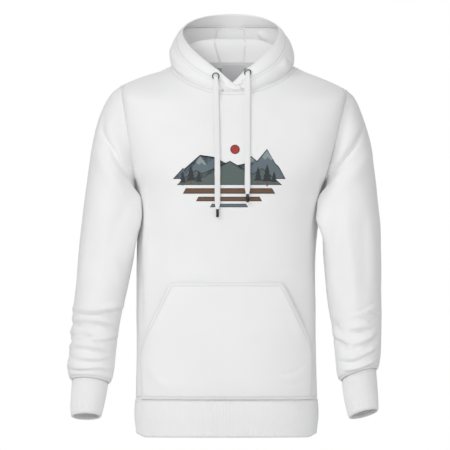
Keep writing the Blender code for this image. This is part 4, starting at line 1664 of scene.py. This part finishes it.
def paint_studio(scene):
    """A white studio, seen as plain white, that lights the piece softly from all around."""
    scene.world = world = bpy.data.worlds.new("Studio")
    world.use_nodes = True
    tree = world.node_tree
    behind, around = tree.nodes["Background"], tree.nodes.new("ShaderNodeBackground")
    behind.inputs["Color"].default_value = around.inputs["Color"].default_value = (1, 1, 1, 1)
    way, parts = tree.nodes.new("ShaderNodeTexCoord"), tree.nodes.new("ShaderNodeSeparateXYZ")
    tree.links.new(way.outputs["Generated"], parts.inputs[0])
    lit = map_range(tree, parts.outputs["Y"], (0.9, -0.5), (STUDIO_BEHIND, STUDIO_FRONT))
    tree.links.new(lit, around.inputs["Strength"])
    seen, mixed = tree.nodes.new("ShaderNodeLightPath"), tree.nodes.new("ShaderNodeMixShader")
    tree.links.new(seen.outputs["Is Camera Ray"], mixed.inputs[0])
    tree.links.new(around.outputs[0], mixed.inputs[1])
    tree.links.new(behind.outputs[0], mixed.inputs[2])
    tree.links.new(mixed.outputs[0], tree.nodes["World Output"].inputs["Surface"])


class SWEATSHIRT_OT_stage(bpy.types.Operator):
    """Makes the floor and backdrop, the lights and the camera"""

    bl_idname = "sweatshirt.stage"
    bl_label = "Stage"

    def execute(self, context):
        scene = context.scene
        scene.view_settings.view_transform = "Standard"
        lay_floor()
        hang_lights(scene)
        paint_studio(scene)
        lens = bpy.data.cameras.new("Camera")
        lens.lens = CAMERA_LENS
        lens.clip_end = 100
        camera = bpy.data.objects.new("Camera", lens)
        scene.collection.objects.link(camera)
        camera.location = CAMERA_PLACE
        camera.rotation_euler = (math.pi / 2, 0, 0)
        scene.camera = camera
        return {"FINISHED"}


class SWEATSHIRT_PT_panel(bpy.types.Panel):
    bl_label = "Sweatshirt"
    bl_idname = "SWEATSHIRT_PT_panel"
    bl_space_type = "VIEW_3D"
    bl_region_type = "UI"
    bl_category = "Sweatshirt"

    def draw(self, context):
        scene = context.scene
        for group, names in (
            (scene.sweatshirt_cloth, ("fleece", "rib", "fold_depth", "rib_pitch", "rib_depth", "wale_pitch")),
            (scene.sweatshirt_trim, ("cord_width", "cord_thickness", "cord", "label", "metal")),
            (scene.sweatshirt_print, ("middle", "scale")),
        ):
            for name in names:
                self.layout.prop(group, name)
        for operator in OPERATORS:
            self.layout.operator(operator.bl_idname)


OPERATORS = (
    SWEATSHIRT_OT_stage,
    SWEATSHIRT_OT_drawcords,
    SWEATSHIRT_OT_body,
    SWEATSHIRT_OT_sleeves,
    SWEATSHIRT_OT_ribs,
    SWEATSHIRT_OT_pocket,
    SWEATSHIRT_OT_hood,
    SWEATSHIRT_OT_neck,
    SWEATSHIRT_OT_eyelets,
    SWEATSHIRT_OT_print,
    SWEATSHIRT_OT_stitching,
)
GROUPS = {
    "sweatshirt_cloth": ClothSettings,
    "sweatshirt_trim": TrimSettings,
    "sweatshirt_print": PrintSettings,
}


def register():
    for group in (*GROUPS.values(), *OPERATORS, SWEATSHIRT_PT_panel):
        bpy.utils.register_class(group)
    for name, group in GROUPS.items():
        setattr(bpy.types.Scene, name, bpy.props.PointerProperty(type=group))


def unregister():
    for name in GROUPS:
        delattr(bpy.types.Scene, name)
    for group in (SWEATSHIRT_PT_panel, *OPERATORS[::-1], *GROUPS.values()):
        bpy.utils.unregister_class(group)


def main():
    register()
    for operator in OPERATORS:
        getattr(bpy.ops.sweatshirt, operator.bl_idname.split(".")[1])()
    bpy.context.view_layer.update()


if __name__ == "__main__":
    main()
